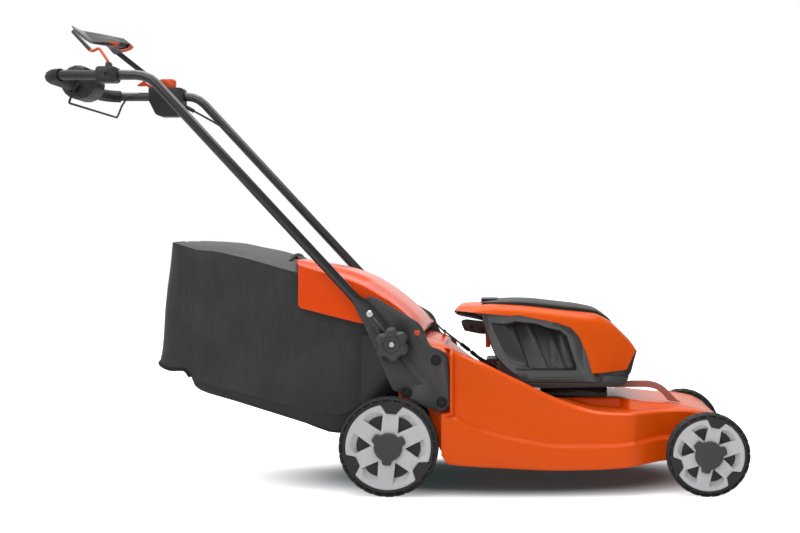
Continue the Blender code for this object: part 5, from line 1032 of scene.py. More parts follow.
def hood_and_lid():
    """The hood as a 2.8 mm shell above the split line and open under the lid, and the lid."""
    hood = finished("hood_shell", hood_form(), HOOD_ABS, smooth=50)
    below = [(x, z + 0.0005) for x, z in SPLIT_LINE] + [(0.66, 0.386), (0.66, 0.20), (0.130, 0.20)]
    mouth = [(0.2780, 0.40), (0.5280, 0.40), (0.5280, 0.50), (0.2780, 0.50)]
    carve(hood, prism(below, -0.19, 0.19))
    carve(hood, hood_form(0.0028))
    carve(hood, prism(mouth, -0.100, 0.100))
    creased(hood, 32)
    instead(hood, "hood")
    instead(finished("gloss_lid", lid_form(), LID_ABS, smooth=24), "battery_lid")


lower_housing()
key_and_holder()
hood_and_lid()


# ---- rear flap ----

# Heights along the flap: its middle, its shoulder and its lower edge.
FLAP_CROWN = smooth_curve([(-0.2325, 0.5800), (-0.1900, 0.5710), (-0.1370, 0.5590), (-0.0811, 0.5385),
                           (-0.0566, 0.5270), (-0.0277, 0.5088), (0.0068, 0.4850), (0.0413, 0.4560),
                           (0.0640, 0.4330), (0.0740, 0.4200), (0.0790, 0.4080)])
FLAP_RIDGE = smooth_curve([(-0.2325, 0.5690), (-0.1600, 0.5470), (-0.1185, 0.5355), (-0.0912, 0.5259),
                           (-0.0639, 0.5137), (-0.0366, 0.4973), (-0.0038, 0.4770), (0.0235, 0.4570),
                           (0.0453, 0.4370), (0.0620, 0.4190), (0.0740, 0.4090), (0.0790, 0.4040)])
FLAP_LOW = smooth_curve([(-0.2325, 0.4597), (-0.0805, 0.4215), (0.0, 0.4055), (0.05, 0.3960), (0.0860, 0.3945)])


def rear_flap():
    """The glossy moulded flap: a raised middle panel, a pale shoulder and deep side walls."""
    rings = []
    for k in range(53):
        x = -0.2325 + 0.3115 * k / 52
        crown, ridge, low = FLAP_CROWN(x), FLAP_RIDGE(x), FLAP_LOW(x)
        panel = 0.0050 * (1 - ramped(x, -0.075, -0.052))
        side = 0.213 - 0.004 * ramped(x, 0.02, 0.079)
        shoulder = side - 0.006 - 0.020 * ramped(x, -0.02, 0.060)
        ease = ramped(x, -0.2325, -0.2270)
        low += 0.0055 * (1 - math.sqrt(max(0.0, 1 - (1 - ease) ** 2)))
        half = [(0.0, crown), (0.070, crown - 0.0006), (0.118, crown - 0.0030), (0.128, crown - 0.0042 - panel),
                (0.160, (crown + ridge) / 2 - 0.0030 - panel * 0.5), (shoulder - 0.010, ridge + 0.0012),
                (shoulder, ridge + 0.0004), (side - 0.0018, ridge - 0.0010), (side, ridge - 0.0032),
                (side, ridge - 0.010), (side, (ridge + low) / 2), (side, low + 0.004), (side, low)]
        half = [(y, max(z, low + 0.0004 * (13 - i))) for i, (y, z) in enumerate(half)]
        swell = max(0.0, (-x - 0.10) / 0.1325)
        half = [(x - 0.027 * swell * max(0.0, 1 - (y / 0.205) ** 2), y, z) for y, z in half]
        rings.append([(px, -y, z) for px, y, z in half[::-1]] + [(px, y, z) for px, y, z in half[1:]])
    nose = [(0.0805, y, min(z, FLAP_LOW(0.079) + 0.004)) for _, y, z in rings[-1]]
    shell = outward(draped([*rings, nose]), Vector((-0.07, 0.0, 0.40)))
    flap = walled(finished("flap_moulding", shell, FLAP_ABS, smooth=32), 0.003)
    carve(flap, turned([(0.0034, -0.23), (0.0034, 0.23)], *FLAP_PIN, 20))
    instead(flap, "rear_flap")


rear_flap()


# ---- deck cable and carry strap ----

CABLE_RUN = [(-0.0496, 0.2214, 0.4460), (-0.0385, 0.2205, 0.4330), (-0.0200, 0.2205, 0.4240),
             (0.0250, 0.2210, 0.4190), (0.0680, 0.2208, 0.4078), (0.0820, 0.2090, 0.3990),
             (0.0950, 0.1650, 0.3915), (0.1080, 0.1200, 0.3845), (0.1230, 0.0880, 0.3765),
             (0.1430, 0.0620, 0.3640), (0.1618, 0.0500, 0.3506), (0.1890, 0.0500, 0.3296),
             (0.2030, 0.0500, 0.3182), (0.2300, 0.0500, 0.2995), (0.2560, 0.0500, 0.2945),
             (0.2845, 0.0500, 0.2960)]


def deck_cable():
    """The cable to the motor, with two sleeves, a boot and the tie that holds it down."""
    parts = [swept(curve_points(CABLE_RUN, 0.006), 0.0026, 12)]
    for a, b, radius in (((0.1618, 0.05, 0.3506), (0.1862, 0.05, 0.3318), 0.0052),
                         ((0.1898, 0.05, 0.3290), (0.2010, 0.05, 0.3198), 0.0056)):
        line = [Vector(a).lerp(Vector(b), k / 12) for k in range(13)]
        parts.append(swept(line, radius, 14, taper=lambda t: 0.80 + 0.20 * min(1, 9 * t, 9 * (1 - t))))
    boot = curve_points([(0.2010, 0.05, 0.3198), (0.2200, 0.05, 0.3062), (0.2400, 0.05, 0.2965),
                         (0.2650, 0.05, 0.2945), (0.2850, 0.05, 0.2955)], 0.003)
    parts.append(swept(boot, 0.0080, 16, taper=lambda t: 0.55 + 0.45 * t + 0.03 * math.sin(40 * t)))
    tie = [Vector((0.1165, 0.0990, 0.3650 + 0.0205 * k / 6)) for k in range(7)]
    parts.append(swept(tie, 0.0016, 8))
    loop = turned([(0.0030, -0.0016), (0.0044, -0.0016), (0.0044, 0.0016), (0.0030, 0.0016)],
                  0.1165, 0.3800, 20, 0.0990, 1, closed=True)
    cable = finished("motor_cable", merged(*parts, loop), SOFT, smooth=50)
    instead(cable, "deck_cable")
    foot = turned([(0.0045, -0.005), (0.0052, -0.003), (0.0052, 0.003), (0.0045, 0.005)], 0.1150, 0.3700,
                  20, 0.0990, 1)
    fitted(finished("cable_tie_foot", foot, KEY_ABS), "deck_cable")


def carry_strap():
    """The rubbery lifting strap in front of the housing, without its bolt."""
    upper = smooth_curve([(0.5490, 0.2536), (0.5637, 0.2548), (0.5850, 0.2600), (0.6110, 0.2662),
                          (0.6480, 0.2664), (0.6735, 0.2612), (0.6935, 0.2505), (0.7085, 0.2362),
                          (0.7210, 0.2225), (0.7290, 0.2155), (0.7360, 0.2132)])
    lower = smooth_curve([(0.5490, 0.2488), (0.5900, 0.2498), (0.6460, 0.2500), (0.6660, 0.2462),
                          (0.6820, 0.2385), (0.6950, 0.2260), (0.7040, 0.2160), (0.7360, 0.2112)])
    rings = []
    for k in range(66):
        x = 0.5490 + 0.1866 * k / 65
        high, low = upper(x), lower(x)
        edge = min(0.0012, (high - low) * 0.3)
        rings.append([(x, y, z) for y, z in ((-0.1068, low), (-0.0932, low), (-0.0920, low + edge),
                                             (-0.0920, high - edge), (-0.0932, high), (-0.1068, high),
                                             (-0.1080, high - edge), (-0.1080, low + edge))])
    strap = finished("carry_strap_band", loft(rings), STRAP, smooth=35)
    instead(strap, "carry_strap")


deck_cable()
carry_strap()


# ---- deck ----

# Heights and widths along the deck: the rim, how far the rim flange falls, the plateau inside, the
# lower left rim, the step in the flank, the lower edge, the half width, the notch at the rear
# corner, and the wall of the dome.
DECK_TOP = smooth_curve([(-0.055, 0.408), (0.0, 0.397), (0.05, 0.385), (0.09, 0.373), (0.1507, 0.3562),
                         (0.2147, 0.3343), (0.3068, 0.2903), (0.3707, 0.2582), (0.4268, 0.2343),
                         (0.4747, 0.2182), (0.5226, 0.2078), (0.5868, 0.2044), (0.64, 0.2055),
                         (0.72, 0.208), (0.79, 0.199), (0.825, 0.183), (0.846, 0.158)])
FLANGE_DROP = smooth_curve([(0.129, 0.018), (0.165, 0.0217), (0.235, 0.0274), (0.418, 0.0290),
                            (0.474, 0.0257), (0.553, 0.0184), (0.625, 0.0150), (0.846, 0.0150)])
DECK_PLATEAU = smooth_curve([(0.13, 0.352), (0.20, 0.298), (0.26, 0.256), (0.31, 0.233), (0.345, 0.2250),
                             (0.585, 0.2250), (0.64, 0.219), (0.70, 0.213), (0.76, 0.204), (0.82, 0.185),
                             (0.846, 0.158)])
LEFT_DROP = smooth_curve([(0.10, 0.0), (0.129, 0.036), (0.15, 0.047), (0.20, 0.050), (0.33, 0.047),
                          (0.40, 0.032), (0.47, 0.010), (0.52, 0.0)])
DECK_CREASE = smooth_curve([(0.129, 0.200), (0.1591, 0.1911), (0.2356, 0.1583), (0.3341, 0.1342),
                            (0.4203, 0.1220), (0.5346, 0.1225), (0.6777, 0.1367), (0.75, 0.139),
                            (0.846, 0.130)])
DECK_BOTTOM = smooth_curve([(0.0, 0.252), (0.03, 0.248), (0.06, 0.236), (0.085, 0.218), (0.105, 0.170),
                            (0.1225, 0.104), (0.129, 0.0994), (0.1471, 0.0784), (0.2794, 0.0685),
                            (0.4221, 0.0629), (0.5184, 0.0651), (0.6838, 0.0803), (0.846, 0.092)])
DECK_HALF = smooth_curve([(0.129, 0.280), (0.585, 0.2795), (0.600, 0.2770), (0.612, 0.2700), (0.66, 0.2410),
                          (0.68, 0.2310), (0.72, 0.226), (0.80, 0.221), (0.83, 0.212), (0.846, 0.196)])
REAR_NOTCH = smooth_curve([(0.110, 0.0), (0.1275, 0.0215), (0.129, 0.0215), (0.150, 0.013),
                           (0.175, 0.005), (0.20, 0.0)])
DOME_WALL = smooth_curve([(0.13, 0.150), (0.29, 0.150), (0.345, 0.122), (0.575, 0.122), (0.597, 0.150)])
DOME_FOOT = smooth_curve([(0.29, 0.042), (0.345, 0.003), (0.575, 0.003), (0.597, 0.042)])
FLANK_START = 0.129
DECK_NOSE = 0.846
EAR_BORE = (0.0383, 0.15464)


def deck_section(x, side):
    """The pressed sheet from its middle out and down to the rolled edge."""
    top = DECK_TOP(x) - (LEFT_DROP(x) if side > 0 else 0.0)
    skirt = x >= FLANK_START
    half = DECK_HALF(x) if skirt else 0.219
    low = DECK_BOTTOM(x)
    plateau = DECK_PLATEAU(x) if x > 0.13 else DECK_TOP(x)
    drop = FLANGE_DROP(x) if skirt else 0.016
    crease = min(DECK_CREASE(x), top - drop - 0.008) if skirt else max(low + 0.008, 0.198)
    valley = min(plateau, top - 0.004)
    press = 0.0120 if skirt else 0.0
    upper = press * ramped(x, 0.1365, 0.1500)
    lower = press * ramped(x, 0.1365, 0.1480)
    shelf = 0.0045 * ramped(x, 0.600, 0.640) if skirt else 0.0
    wall = min(DOME_WALL(x), half - 0.085)
    foot = min(wall + DOME_FOOT(x), half - 0.062)
    corners = [(0.0, plateau, 0), (0.075, plateau, 0), (wall, plateau, 0.007), (foot, valley, 0.006),
               (half - 0.040, min(top - 0.003, valley + 0.05), 0.012), (half - 0.027, top, 0.007),
               (half - 0.011, top - drop * 0.42, 0.010), (half - upper - 0.0004, top - drop, 0.0012),
               (half - lower - shelf, crease + 0.0048, 0.0008), (half, crease - 0.0028, 0.0034),
               (half, low + 0.004, 0.003), (half - 0.0035, low, 0)]
    line = []
    for k, (y, z, r) in enumerate(corners):
        if r == 0:
            line.append((y, z, k))
            continue
        here = Vector((y, z))
        back = Vector(corners[k - 1][:2]) - here
        ahead = Vector(corners[k + 1][:2]) - here
        reach = min(r, 0.45 * back.length, 0.45 * ahead.length)
        first = here + back.normalized() * reach
        last = here + ahead.normalized() * reach
        for t in (0.0, 0.33, 0.67, 1.0):
            spot = first * (1 - t) ** 2 + here * 2 * t * (1 - t) + last * t * t
            line.append((spot.x, spot.y, k))
    notch = REAR_NOTCH(x)
    return [(x + (notch if 4 <= k <= 8 else 0.0), side * y, z) for y, z, k in line]


def deck():
    """The deck as one enamelled pressing with a recessed flank and a rolled edge."""
    stations = [-0.055, -0.03, 0.0, 0.03, 0.06, 0.085, 0.10, 0.112, 0.122, 0.1275, FLANK_START, 0.1320, 0.1345,
                0.1365, 0.1390, 0.1415, 0.1440, 0.1480, 0.1540, 0.162, 0.175]
    stations += [0.19 + 0.0125 * k for k in range(31)]
    stations += [0.570, 0.575, 0.580, 0.585, 0.590, 0.597, 0.602, 0.607, 0.612, 0.618, 0.625, 0.64, 0.655,
                 0.67, 0.685, 0.70, 0.72, 0.74, 0.76, 0.78, 0.80, 0.814, 0.828, 0.838, DECK_NOSE]
    rows = [[*deck_section(x, -1)[::-1], *deck_section(x, 1)[1:]] for x in stations]
    lip = [(DECK_NOSE + 0.003, y, DECK_BOTTOM(DECK_NOSE)) for _, y, _ in rows[-1]]
    shell = outward(draped([*rows, lip]), Vector((0.45, 0.0, 0.10)))
    piece = walled(finished("deck_pressing", shell, ENAMEL), 0.0025)
    carve(piece, turned([(0.0085, -0.26), (0.0085, 0.26)], 0.8223, 0.13464, 20))
    carve(piece, loft([[(x, y, z) for x, y in motor_ring(0.024)] for z in (0.15, 0.26)]))
    for low, high in (((0.10, 0.2375, 0.169), (0.18, 0.2495, 0.1985)),
                      ((0.59, 0.2375, 0.156), (0.71, 0.2495, 0.1860))):
        window = [(low[0], low[2]), (high[0], low[2]), (high[0], high[2]), (low[0], high[2])]
        carve(piece, prism(window, low[1], high[1]))
    creased(piece, 50)
    deck_ears()
    instead(piece, "deck_shell")


def deck_ears():
    """The two hanging ears that carry the rear cross tube."""
    ring = [tuple(Vector(EAR_BORE) + polar(0.016, a)) for a in range(-180, 1, 12)]
    outline = [*ring, (0.0583, 0.264), (0.0183, 0.264)]
    ears = [prism(outline, side * 0.2160, side * 0.2205) for side in (-1, 1)]
    pair = finished("deck_ears", merged(*ears), ENAMEL)
    carve(pair, turned([(0.0083, -0.23), (0.0083, 0.23)], *EAR_BORE, 24))
    softened(pair, 0.0006)
    fitted(pair, "deck_shell")


deck()


# ---- grass bag ----

# The bag's half width, its mouth, the tops and feet of its rear, and heights along its seam,
# its roof, the foot of its cloth and its tray.
BAG_HALF = 0.196
BAG_MOUTH = -0.0500
BAG_REAR = (-0.5565, -0.5870)
BAG_CORNER = 0.065
BAG_ROUND = 0.030 / BAG_HALF
SIDE_STEPS = 44
CORNER_STEPS = 7
STITCH_PITCH = 0.0034
BAG_SEAM = smooth_curve([(-0.5512, 0.6200), (-0.5228, 0.6131), (-0.4897, 0.6030), (-0.4455, 0.5990),
                         (-0.4012, 0.5892), (-0.3495, 0.5756), (-0.2943, 0.5598), (-0.2353, 0.5435),
                         (-0.16, 0.5180), (-0.0865, 0.4880), (-0.0500, 0.4680)])
BAG_CROWN = smooth_curve([(-0.5512, 0.6232), (-0.528, 0.6262), (-0.4854, 0.6240), (-0.4270, 0.6214),
                          (-0.3646, 0.6105), (-0.3179, 0.6015), (-0.2868, 0.5920), (-0.2555, 0.5760),
                          (-0.23, 0.5555), (-0.16, 0.5290), (-0.0865, 0.4960), (-0.0500, 0.4720)])
BAG_FOOT = smooth_curve([(-0.5900, 0.3235), (-0.5680, 0.3105), (-0.5480, 0.3040), (-0.5300, 0.3045),
                         (-0.5160, 0.3010), (-0.5062, 0.2850), (-0.4935, 0.2772), (-0.3126, 0.2285),
                         (-0.2049, 0.1975), (-0.1347, 0.1865), (-0.0865, 0.2080), (-0.0500, 0.2400)])
TRAY_LOW = smooth_curve([(-0.5020, 0.2720), (-0.4985, 0.2620), (-0.4900, 0.2530), (-0.4711, 0.2440),
                         (-0.4083, 0.2255), (-0.3126, 0.1957), (-0.2250, 0.1682), (-0.1391, 0.1414),
                         (-0.1120, 0.1430), (-0.0865, 0.1850)])


def bag_columns():
    """Stations round the bag from its right-hand mouth to the left one."""
    span = 1 - BAG_CORNER
    half = [(span * k / SIDE_STEPS, 1.0, 0.0) for k in range(SIDE_STEPS + 1)]
    for k in range(1, CORNER_STEPS + 1):
        angle = math.pi / 2 * k / CORNER_STEPS
        half.append((span + BAG_CORNER * math.sin(angle), 1 - BAG_ROUND * (1 - math.cos(angle)), angle))
    half += [(1.0, (1 - BAG_ROUND) * (1 - k / 14), math.pi / 2) for k in range(1, 14)]
    middle = [(1.0, 0.0, math.pi / 2)]
    return [(a, -b, -turn) for a, b, turn in half] + middle + [(a, b, turn) for a, b, turn in half[::-1]]


def bag_spot(column, v, lift=0.0):
    """A point on the cloth wall, v of the way from its foot to its top seam."""
    a, b, turn = column
    foot_x = BAG_MOUTH + (BAG_REAR[1] - BAG_MOUTH) * a
    top_x = BAG_MOUTH + (BAG_REAR[0] - BAG_MOUTH) * a
    low = BAG_FOOT(foot_x)
    high = BAG_SEAM(top_x)
    if a == 1.0:
        high += (BAG_CROWN(top_x) - high) * (1 - abs(b / (1 - BAG_ROUND)) ** 2.2)
    x = foot_x + (top_x - foot_x) * v
    z = low + (high - low) * v
    loose = ramped(-x, 0.09, 0.30)
    out = -0.004 * math.sin(math.pi * v) * math.sin(math.pi * min(1, a * 1.05))
    out += loose * 0.0042 * noise.noise(Vector((x * 9, b, z * 3.5 + x * 5)))
    out += loose * 0.0026 * noise.noise(Vector((x * 22 + 3, b * 2, z * 9)))
    out += 0.0012 * noise.noise(Vector((x * 60, b * 5, z * 8 + 5)))
    out *= ramped(v, 0.0, 0.12)
    out -= 0.0022 * math.exp(-((a - rear_seam(v)) / 0.010) ** 2)
    flare = ramped(-foot_x, 0.500, 0.540) * (1 - ramped(v, 0.0, 0.085))
    out += flare * (0.011 * math.cos(turn) - 0.002)
    out *= 1 - ramped(v, 0.93, 1.0)
    out += 0.0008
    inward = 0.004 * ramped(v, 0.93, 1.0) * math.cos(turn)
    side = math.copysign(1.0, b) if b else 0.0
    y = b * BAG_HALF - side * inward + math.sin(abs(turn) + math.pi / 2) * side * (out + lift)
    return (x - math.sin(abs(turn)) * (out + lift), y, z)


def rear_seam(v):
    """Where the rear panel's seam runs, as a share of the bag's length."""
    return 0.820 + 0.150 * max(0.0, v - 0.10) ** 1.25


def stitches(points, radius=0.0005):
    """Short raised stitches along a line."""
    line = bmesh.new()
    spots = [line.verts.new(p) for p in curve_points(points, STITCH_PITCH / 4)]
    for near, far in zip(spots, spots[1:]):
        line.edges.new((near, far))
    return grown(line, STITCHES, THREAD, Pitch=STITCH_PITCH, Length=STITCH_PITCH * 0.75, Radius=radius)


def bag_top(a, c):
    """A point on the mesh roof between the side seams."""
    x = BAG_MOUTH + (BAG_REAR[0] - BAG_MOUTH) * a
    off = max(0.0, (a - (1 - BAG_CORNER)) / BAG_CORNER)
    bow = math.sqrt(max(0.0, 1 - off * off))
    wide = 1 - BAG_ROUND * (1 - bow)
    inward = 0.004 * bow
    z = BAG_SEAM(x) + (BAG_CROWN(x) - BAG_SEAM(x)) * (1 - abs(c) ** 2.2)
    dip = ramped(a, 0.55, 0.80) * (1 - ramped(a, 0.93, 1.0)) * math.exp(-((abs(c) - 0.86) / 0.10) ** 2)
    wrinkle = 0.0022 * noise.noise(Vector((x * 14, c * 3, 1.0))) * (1 - abs(c)) * ramped(-x, 0.24, 0.30)
    return (x, c * (wide * BAG_HALF - inward), z - 0.009 * dip + wrinkle)


def bag_cloth():
    """The cloth walls and the mesh roof, each a thin skin with one subdivision."""
    columns = bag_columns()
    rows = 34
    walls = draped([[bag_spot(column, v / rows) for v in range(rows + 1)] for column in columns])
    walls = finished("bag_cloth", walls, CLOTH, smooth=60)
    across = [-1 + k / 14 for k in range(29)]
    along = [a for a, b, _ in columns[:SIDE_STEPS + 1 + CORNER_STEPS]]
    roof = draped([[bag_top(a, c) for c in across] for a in along], flip=True)
    roof = finished("bag_mesh_roof", roof, MESH, smooth=60)
    for piece in (walls, roof):
        piece.modifiers.new("fine", "SUBSURF").levels = 1
        walled(piece, 0.0014, 0.0).data.shade_smooth()
    instead(walls, "bag_fabric")
    return roof, columns, along, across


def bag_sewing(columns, along, across):
    """The piping on the roof's edge, the bound hem at the rear and four lines of stitches."""
    raised = Vector((0, 0, 0.0008))
    edges = [[Vector(bag_top(a, side)) + raised for a in along] for side in (-1, 1)]
    edges.append([Vector(bag_top(1.0, c)) + Vector((-0.0004, 0, 0.0008)) for c in across])
    cords = [swept(curve_points(edge, 0.008), 0.0021, 8) for edge in edges]
    seams = finished("bag_piping", merged(*cords), CLOTH)
    hem = [Vector(bag_spot(column, 0.0)) for column in columns]
    tail = [p for p in hem if p.x < -0.5010]
    bound = finished("bag_binding", swept(curve_points(tail, 0.006), 0.0042, 8), BINDING)
    lines = []
    for side in (-1, 1):
        shares = [0.02 + 0.90 * k / 25 for k in range(26)]
        lines.append(stitches([bag_spot((rear_seam(v), side * 1.0, 0.0), v, 0.0013) for v in shares]))
        slope = []
        for k in range(14):
            x = -0.1689 + (-0.0750 + 0.1689) * k / 13
            z = 0.4196 + (0.2440 - 0.4196) * k / 13
            a = (x - BAG_MOUTH) / (-0.565 - BAG_MOUTH)
            low, high = BAG_FOOT(x), BAG_SEAM(x)
            slope.append(bag_spot((a, side * 1.0, 0.0), (z - low) / (high - low), 0.0012))
        lines.append(stitches(slope, 0.0006))
    return seams, bound, finished("bag_stitches", merged(*lines), THREAD)


def grass_bag():
    """The bag's cloth and sewing, its floor tray and its mouth ring."""
    roof, *lines = bag_cloth()
    for piece in (roof, *bag_sewing(*lines)):
        fitted(piece, "bag_fabric")
    instead(bag_tray(), "bag_tray")
    instead(bag_frame(), "bag_frame")


def bag_tray():
    """The plastic floor of the bag: a shallow tray that the cloth laps over."""
    inner = BAG_HALF - 0.0022
    rows = []
    stations = [-0.5030, -0.5015, -0.4990, -0.4950, -0.4880, -0.4780, -0.4640, -0.44]
    stations += [-0.40 + 0.03 * k for k in range(9)] + [-0.1358, -0.118, -0.104, -0.094, -0.0865]
    for x in stations:
        low = TRAY_LOW(x)
        top = max(BAG_FOOT(x) + 0.006, low + 0.004)
        right = [(inner, top), (inner, top - 0.003), (inner, min(low + 0.016, top - 0.004)),
                 (inner - 0.0025, low + 0.0075), (inner - 0.0075, low + 0.0025), (inner - 0.016, low),
                 (inner * 0.5, low - 0.001), (0.0, low - 0.001)]
        rows.append([(x, -y, z) for y, z in right] + [(x, y, z) for y, z in right[-2::-1]])
    bm = draped(rows)
    bm.faces.new(list(bm.verts)[:len(rows[0])])
    bmesh.ops.recalc_face_normals(bm, faces=bm.faces)
    return creased(walled(finished("bag_floor_tray", bm, TRAY_PP, smooth=40), 0.0024), 40)


def bag_frame():
    """The mouth ring with the flat stay that ends in the bag's carry bar."""
    ring = rounded([(-0.1935, 0.1960, 0.012), (0.1935, 0.1960, 0.012), (0.1935, 0.4600, 0.030),
                    (0.1700, 0.4860, 0.020), (-0.1700, 0.4860, 0.020), (-0.1935, 0.4600, 0.030)], 4)
    hole = rounded([(-0.1810, 0.2100, 0.010), (0.1810, 0.2100, 0.010), (0.1810, 0.4540, 0.026),
                    (0.1620, 0.4740, 0.018), (-0.1620, 0.4740, 0.018), (-0.1810, 0.4540, 0.026)], 4)
    loops = [[(x, y, z) for y, z in line] for x, line in ((-0.0850, ring), (-0.0770, ring), (-0.0770, hole),
                                                          (-0.0850, hole))]
    stay = [(-0.0805, 0.4850), (-0.0900, 0.4990), (-0.1200, 0.5200), (-0.1600, 0.5380), (-0.2000, 0.5530),
            (-0.2300, 0.5660), (-0.2500, 0.5770), (-0.2680, 0.5885)]
    line = curve_points([(x, 0.0, z) for x, z in stay], 0.008)
    strip = loft([[(p.x, -0.050, p.z - 0.0014), (p.x, 0.050, p.z - 0.0014), (p.x, 0.050, p.z + 0.0014),
                   (p.x, -0.050, p.z + 0.0014)] for p in line])
    bar = swept(curve_points([(-0.2700, -0.112, 0.5740), (-0.2690, -0.095, 0.5800), (-0.2680, -0.050, 0.5875),
                              (-0.2680, 0.0, 0.5895), (-0.2680, 0.050, 0.5875), (-0.2690, 0.095, 0.5800),
                              (-0.2700, 0.112, 0.5740)], 0.008), 0.0046, 12)
    return finished("bag_mouth_ring", merged(loft(loops, closed=True), strip, bar), TRAY_PP, smooth=35)


grass_bag()


# ---- handle top ----

# The bail rod's path, and the outline of the paddle's end at three widths.
BAIL_ROD = [(-0.6925, -0.2575, 1.0640), (-0.6960, -0.2570, 1.0720), (-0.7050, -0.2500, 1.0840),
            (-0.7150, -0.2420, 1.0960), (-0.7205, -0.2370, 1.1020), (-0.7262, -0.2330, 1.1045),
            (-0.7340, -0.2280, 1.1025), (-0.7420, -0.2230, 1.1002), (-0.7480, -0.2195, 1.1020),
            (-0.7519, -0.2170, 1.1045), (-0.7710, -0.2005, 1.1217), (-0.7990, -0.1760, 1.1468)]
WING_END = [(0.100, [(-0.8145, 1.1710), (-0.801, 1.1660), (-0.790, 1.1520), (-0.7790, 1.1400),
                     (-0.7817, 1.1355), (-0.7875, 1.1372), (-0.798, 1.1500), (-0.811, 1.1640)]),
            (0.130, [(-0.815, 1.1720), (-0.805, 1.1665), (-0.796, 1.1560), (-0.7865, 1.1450),
                     (-0.7885, 1.1405), (-0.7935, 1.1420), (-0.802, 1.1535), (-0.812, 1.1655)]),
            (0.164, [(-0.8154, 1.1735), (-0.810, 1.1705), (-0.804, 1.1650), (-0.7980, 1.1590),
                     (-0.7990, 1.1550), (-0.8045, 1.1560), (-0.8095, 1.1615), (-0.8130, 1.1680)])]


def swollen(points, size):
    """An outline pushed out from its middle."""
    middle = sum((Vector(p) for p in points), Vector((0, 0))) / len(points)
    return [tuple(Vector(p) + (Vector(p) - middle).normalized() * size) for p in points]


def drive_bail():
    """The bail's rod, and its paddle with silver ends and an orange inlay underneath."""
    rod = swept(curve_points(BAIL_ROD, 0.003), 0.0036, 12)
    eye = turned([(0.0028, -0.003), (0.0058, -0.003), (0.0058, 0.003), (0.0028, 0.003)], -0.6925, 1.0625,
                 24, -0.2575, 1, closed=True)
    instead(finished("drive_bail_rod", merged(rod, eye), KEY_ABS), "drive_bail")
    wing = copied("drive_paddle", PADDLE_ABS)
    softened(wing, 0.0014, 3)
    instead(wing, "drive_paddle")
    tips = []
    for side in (-1, 1):
        loops = [[(x, side * y, z) for x, z in swollen(line, 0.0007)] for y, line in WING_END]
        last = [(x, side * 0.1655, z) for x, z in swollen(WING_END[-1][1], -0.002)]
        tips.append(loft([*loops, last]))
    tip = finished("paddle_tips", merged(*tips), PADDLE_TIP, smooth=35)
    softened(tip, 0.0006)
    near = [(-0.7480, 1.1350), (-0.7320, 1.1392), (-0.7258, 1.1466), (-0.7253, 1.1460), (-0.7312, 1.1380),
            (-0.7478, 1.1337)]
    far = [(-0.7700, 1.1440), (-0.7600, 1.1425), (-0.7480, 1.1450), (-0.7478, 1.1440), (-0.7600, 1.1412),
           (-0.7704, 1.1430)]
    keel = [(-0.7385, 1.1330), (-0.7150, 1.1372), (-0.7085, 1.1450), (-0.7079, 1.1444), (-0.7145, 1.1357),
            (-0.7385, 1.1314)]
    inlay = [loft([[(x, side * y, z) for x, z in line] for y, line in ((0.050, near), (0.078, far))])
             for side in (-1, 1)]
    inlay = finished("paddle_inlay", merged(*inlay, prism(keel, -0.016, 0.016)), KEY_ABS)
    fitted(tip, "drive_paddle")
    fitted(inlay, "drive_paddle")


def rod_clamp():
    """The clamp on the right-hand tube, with its sunk screw."""
    screw = (-0.6932, 1.0360)
    clamp = copied("rod_clamp", HANDLE_PA)
    carve(clamp, turned([(0.0055, -0.001), (0.0050, 0.0060)], *screw, 24, -0.2770, 1))
    softened(clamp, 0.0030, 3)
    instead(clamp, "rod_clamp")
    plug = turned([(0.0049, 0.0030), (0.0049, 0.0055), (0.0004, 0.0055)], *screw, 24, -0.2770, 1)
    fitted(finished("clamp_screw", plug, SCREW_AND_POCKET_SHADE), "rod_clamp")


drive_bail()
rod_clamp()
dressed("stop_bail", SOFT, 0.0003)
for node in ("control_pod", "control_box"):
    dressed(node, HANDLE_PA, 0.0012, 3)


# ---- pieces that keep their own shape ----

BY_SLOT = {"deck_orange": ENAMEL, "flap_orange": FLAP_ABS, "part_orange": KEY_ABS,
           "dark_plastic": PLASTIC, "grey_plastic": PACK_ABS, "soft_rubber": SOFT, "tyre": RUBBER,
           "rim_grey": RIM, "black_steel": TUBE, "steel": ZINC, "blade_steel": BLADE,
           "strap": STRAP}
dressed("discharge_chute", TRAY_PP, 0.0008)
for node in sorted(frame["nodes"]):
    if node not in DONE:
        dressed(node, BY_SLOT[SLOTS[node]], 0.0008)


# ---- floor, light and camera ----

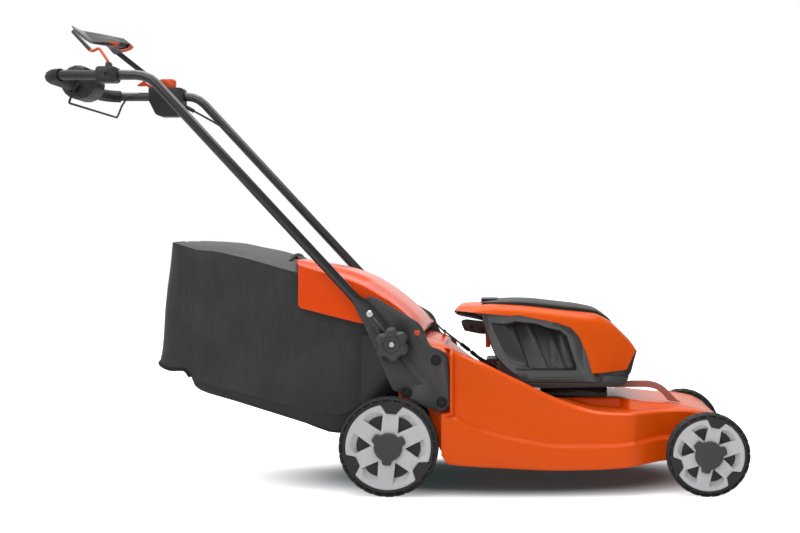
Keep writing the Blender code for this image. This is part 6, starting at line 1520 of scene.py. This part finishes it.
def studio():
    """A white floor that keeps the shadow and has a painted shadow under the deck, a sky that is paler behind
    than ahead, and three soft boxes.
    """
    scene = bpy.context.scene
    scene.view_settings.view_transform = "Standard"
    world = bpy.data.worlds.new("studio")
    world.use_nodes = True
    scene.world = world
    tree = world.node_tree
    path = add(tree, "ShaderNodeLightPath")
    way = add(tree, "ShaderNodeNewGeometry")
    across = add(tree, "ShaderNodeVectorMath", {0: way.outputs["Position"], 1: (1.0, 0.0, 0.25)},
                 operation="DOT_PRODUCT")
    side = add(tree, "ShaderNodeMapRange", {"Value": across.outputs["Value"], "From Min": 0.0, "From Max": 0.75,
                                            "To Min": 1.0, "To Max": 0.22})
    glossy = add(tree, "ShaderNodeMapRange", {"Value": path.outputs["Is Glossy Ray"], "To Min": 0.57,
                                              "To Max": 0.98})
    around = add(tree, "ShaderNodeMath", {0: side.outputs["Result"], 1: glossy.outputs["Result"]},
                 operation="MULTIPLY")
    strength = add(tree, "ShaderNodeMix", {"Factor": path.outputs["Is Camera Ray"], "A": around.outputs[0],
                                           "B": 1.0})
    sky = tree.nodes["Background"]
    sky.inputs["Color"].default_value = (1, 1, 1, 1)
    tree.links.new(strength.outputs["Result"], sky.inputs["Strength"])
    floor = bmesh.new()
    bmesh.ops.create_grid(floor, x_segments=1, y_segments=1, size=14)
    piece = finished("studio_floor", floor, floor_paper(), shift=False)
    for name, spot, look, size, power in (
            ("key_box", (-0.9, -3.0, 3.0), (0.1, 0, 0.3), 2.2, 36.0),
            ("top_box", (0.1, 0.2, 3.6), (0.1, 0, 0.0), 3.2, 110.0),
            ("fill_box", (2.8, -1.8, 1.4), (0.2, 0, 0.4), 1.6, 6.0)):
        light = bpy.data.lights.new(name, "AREA")
        light.shape = "SQUARE"
        light.size = size
        light.energy = power
        lamp = bpy.data.objects.new(name, light)
        scene.collection.objects.link(lamp)
        lamp.location = spot
        lamp.rotation_euler = (Vector(look) - Vector(spot)).to_track_quat("-Z", "Y").to_euler()


def floor_paper():
    """Matt white paper with a grey painted shadow and a faint cyan painted glow under the deck, fading to white
    round it.
    """
    middle, narrow, deep = -0.30, 1.7, 3.1
    material, tree, shader = start("white_paper_painted_shadow", Roughness=1.0)
    shader.inputs["Specular IOR Level"].default_value = 0.0
    where = add(tree, "ShaderNodeTexCoord")
    spot = add(tree, "ShaderNodeMapping", {"Vector": where.outputs["Object"],
                                           "Location": (middle * narrow, -0.02 * deep, 0.0),
                                           "Scale": (narrow, deep, 1.0)})
    reach = add(tree, "ShaderNodeVectorMath", {0: spot.outputs["Vector"]}, operation="LENGTH")
    far = add(tree, "ShaderNodeMapRange", {"Value": reach.outputs["Value"], "From Min": 0.62, "From Max": 1.42,
                                           "To Min": 0.0, "To Max": 1.0}, interpolation_type="SMOOTHSTEP")
    path = add(tree, "ShaderNodeLightPath")
    lift = add(tree, "ShaderNodeMath", {0: path.outputs["Is Camera Ray"], 1: far.outputs["Result"]},
               operation="MULTIPLY")
    # Camera rays see the paper glow: a faint cyan painted glow in the shadow under the deck, rising to white
    # round it.
    tree.links.new(path.outputs["Is Camera Ray"], shader.inputs["Emission Strength"])
    painted_glow_and_white_lift = ramp(tree, lift.outputs[0], 0.0, 1.0, ((0.012, 0.022, 0.023, 1.0), (1.0, 1.0, 1.0, 1.0)))
    tree.links.new(painted_glow_and_white_lift, shader.inputs["Emission Color"])
    # The paper itself is painted grey under the deck: a painted shadow that fades to the white paper round it.
    painted_shadow_tone = ramp(tree, far.outputs["Result"], 0.0, 0.9, ((0.47, 0.49, 0.50, 1.0), (0.90, 0.90, 0.90, 1.0)))
    tree.links.new(painted_shadow_tone, shader.inputs["Base Color"])
    return material


def camera():
    """A long lens square to the mower's side, level with the grass bag's top."""
    width, focal, sensor = 800, 1373.0, 36.0
    data = bpy.data.cameras.new("camera")
    data.sensor_width = sensor
    data.lens = focal / width * sensor
    data.shift_x = -122.0 / width
    data.shift_y = -25.0 / width
    data.clip_end = 60
    eye = bpy.data.objects.new("camera", data)
    bpy.context.scene.collection.objects.link(eye)
    eye.location = at(0.327, -3.645, 0.62513)
    eye.rotation_euler = (math.pi / 2, 0, 0)
    bpy.context.scene.camera = eye


studio()
camera()
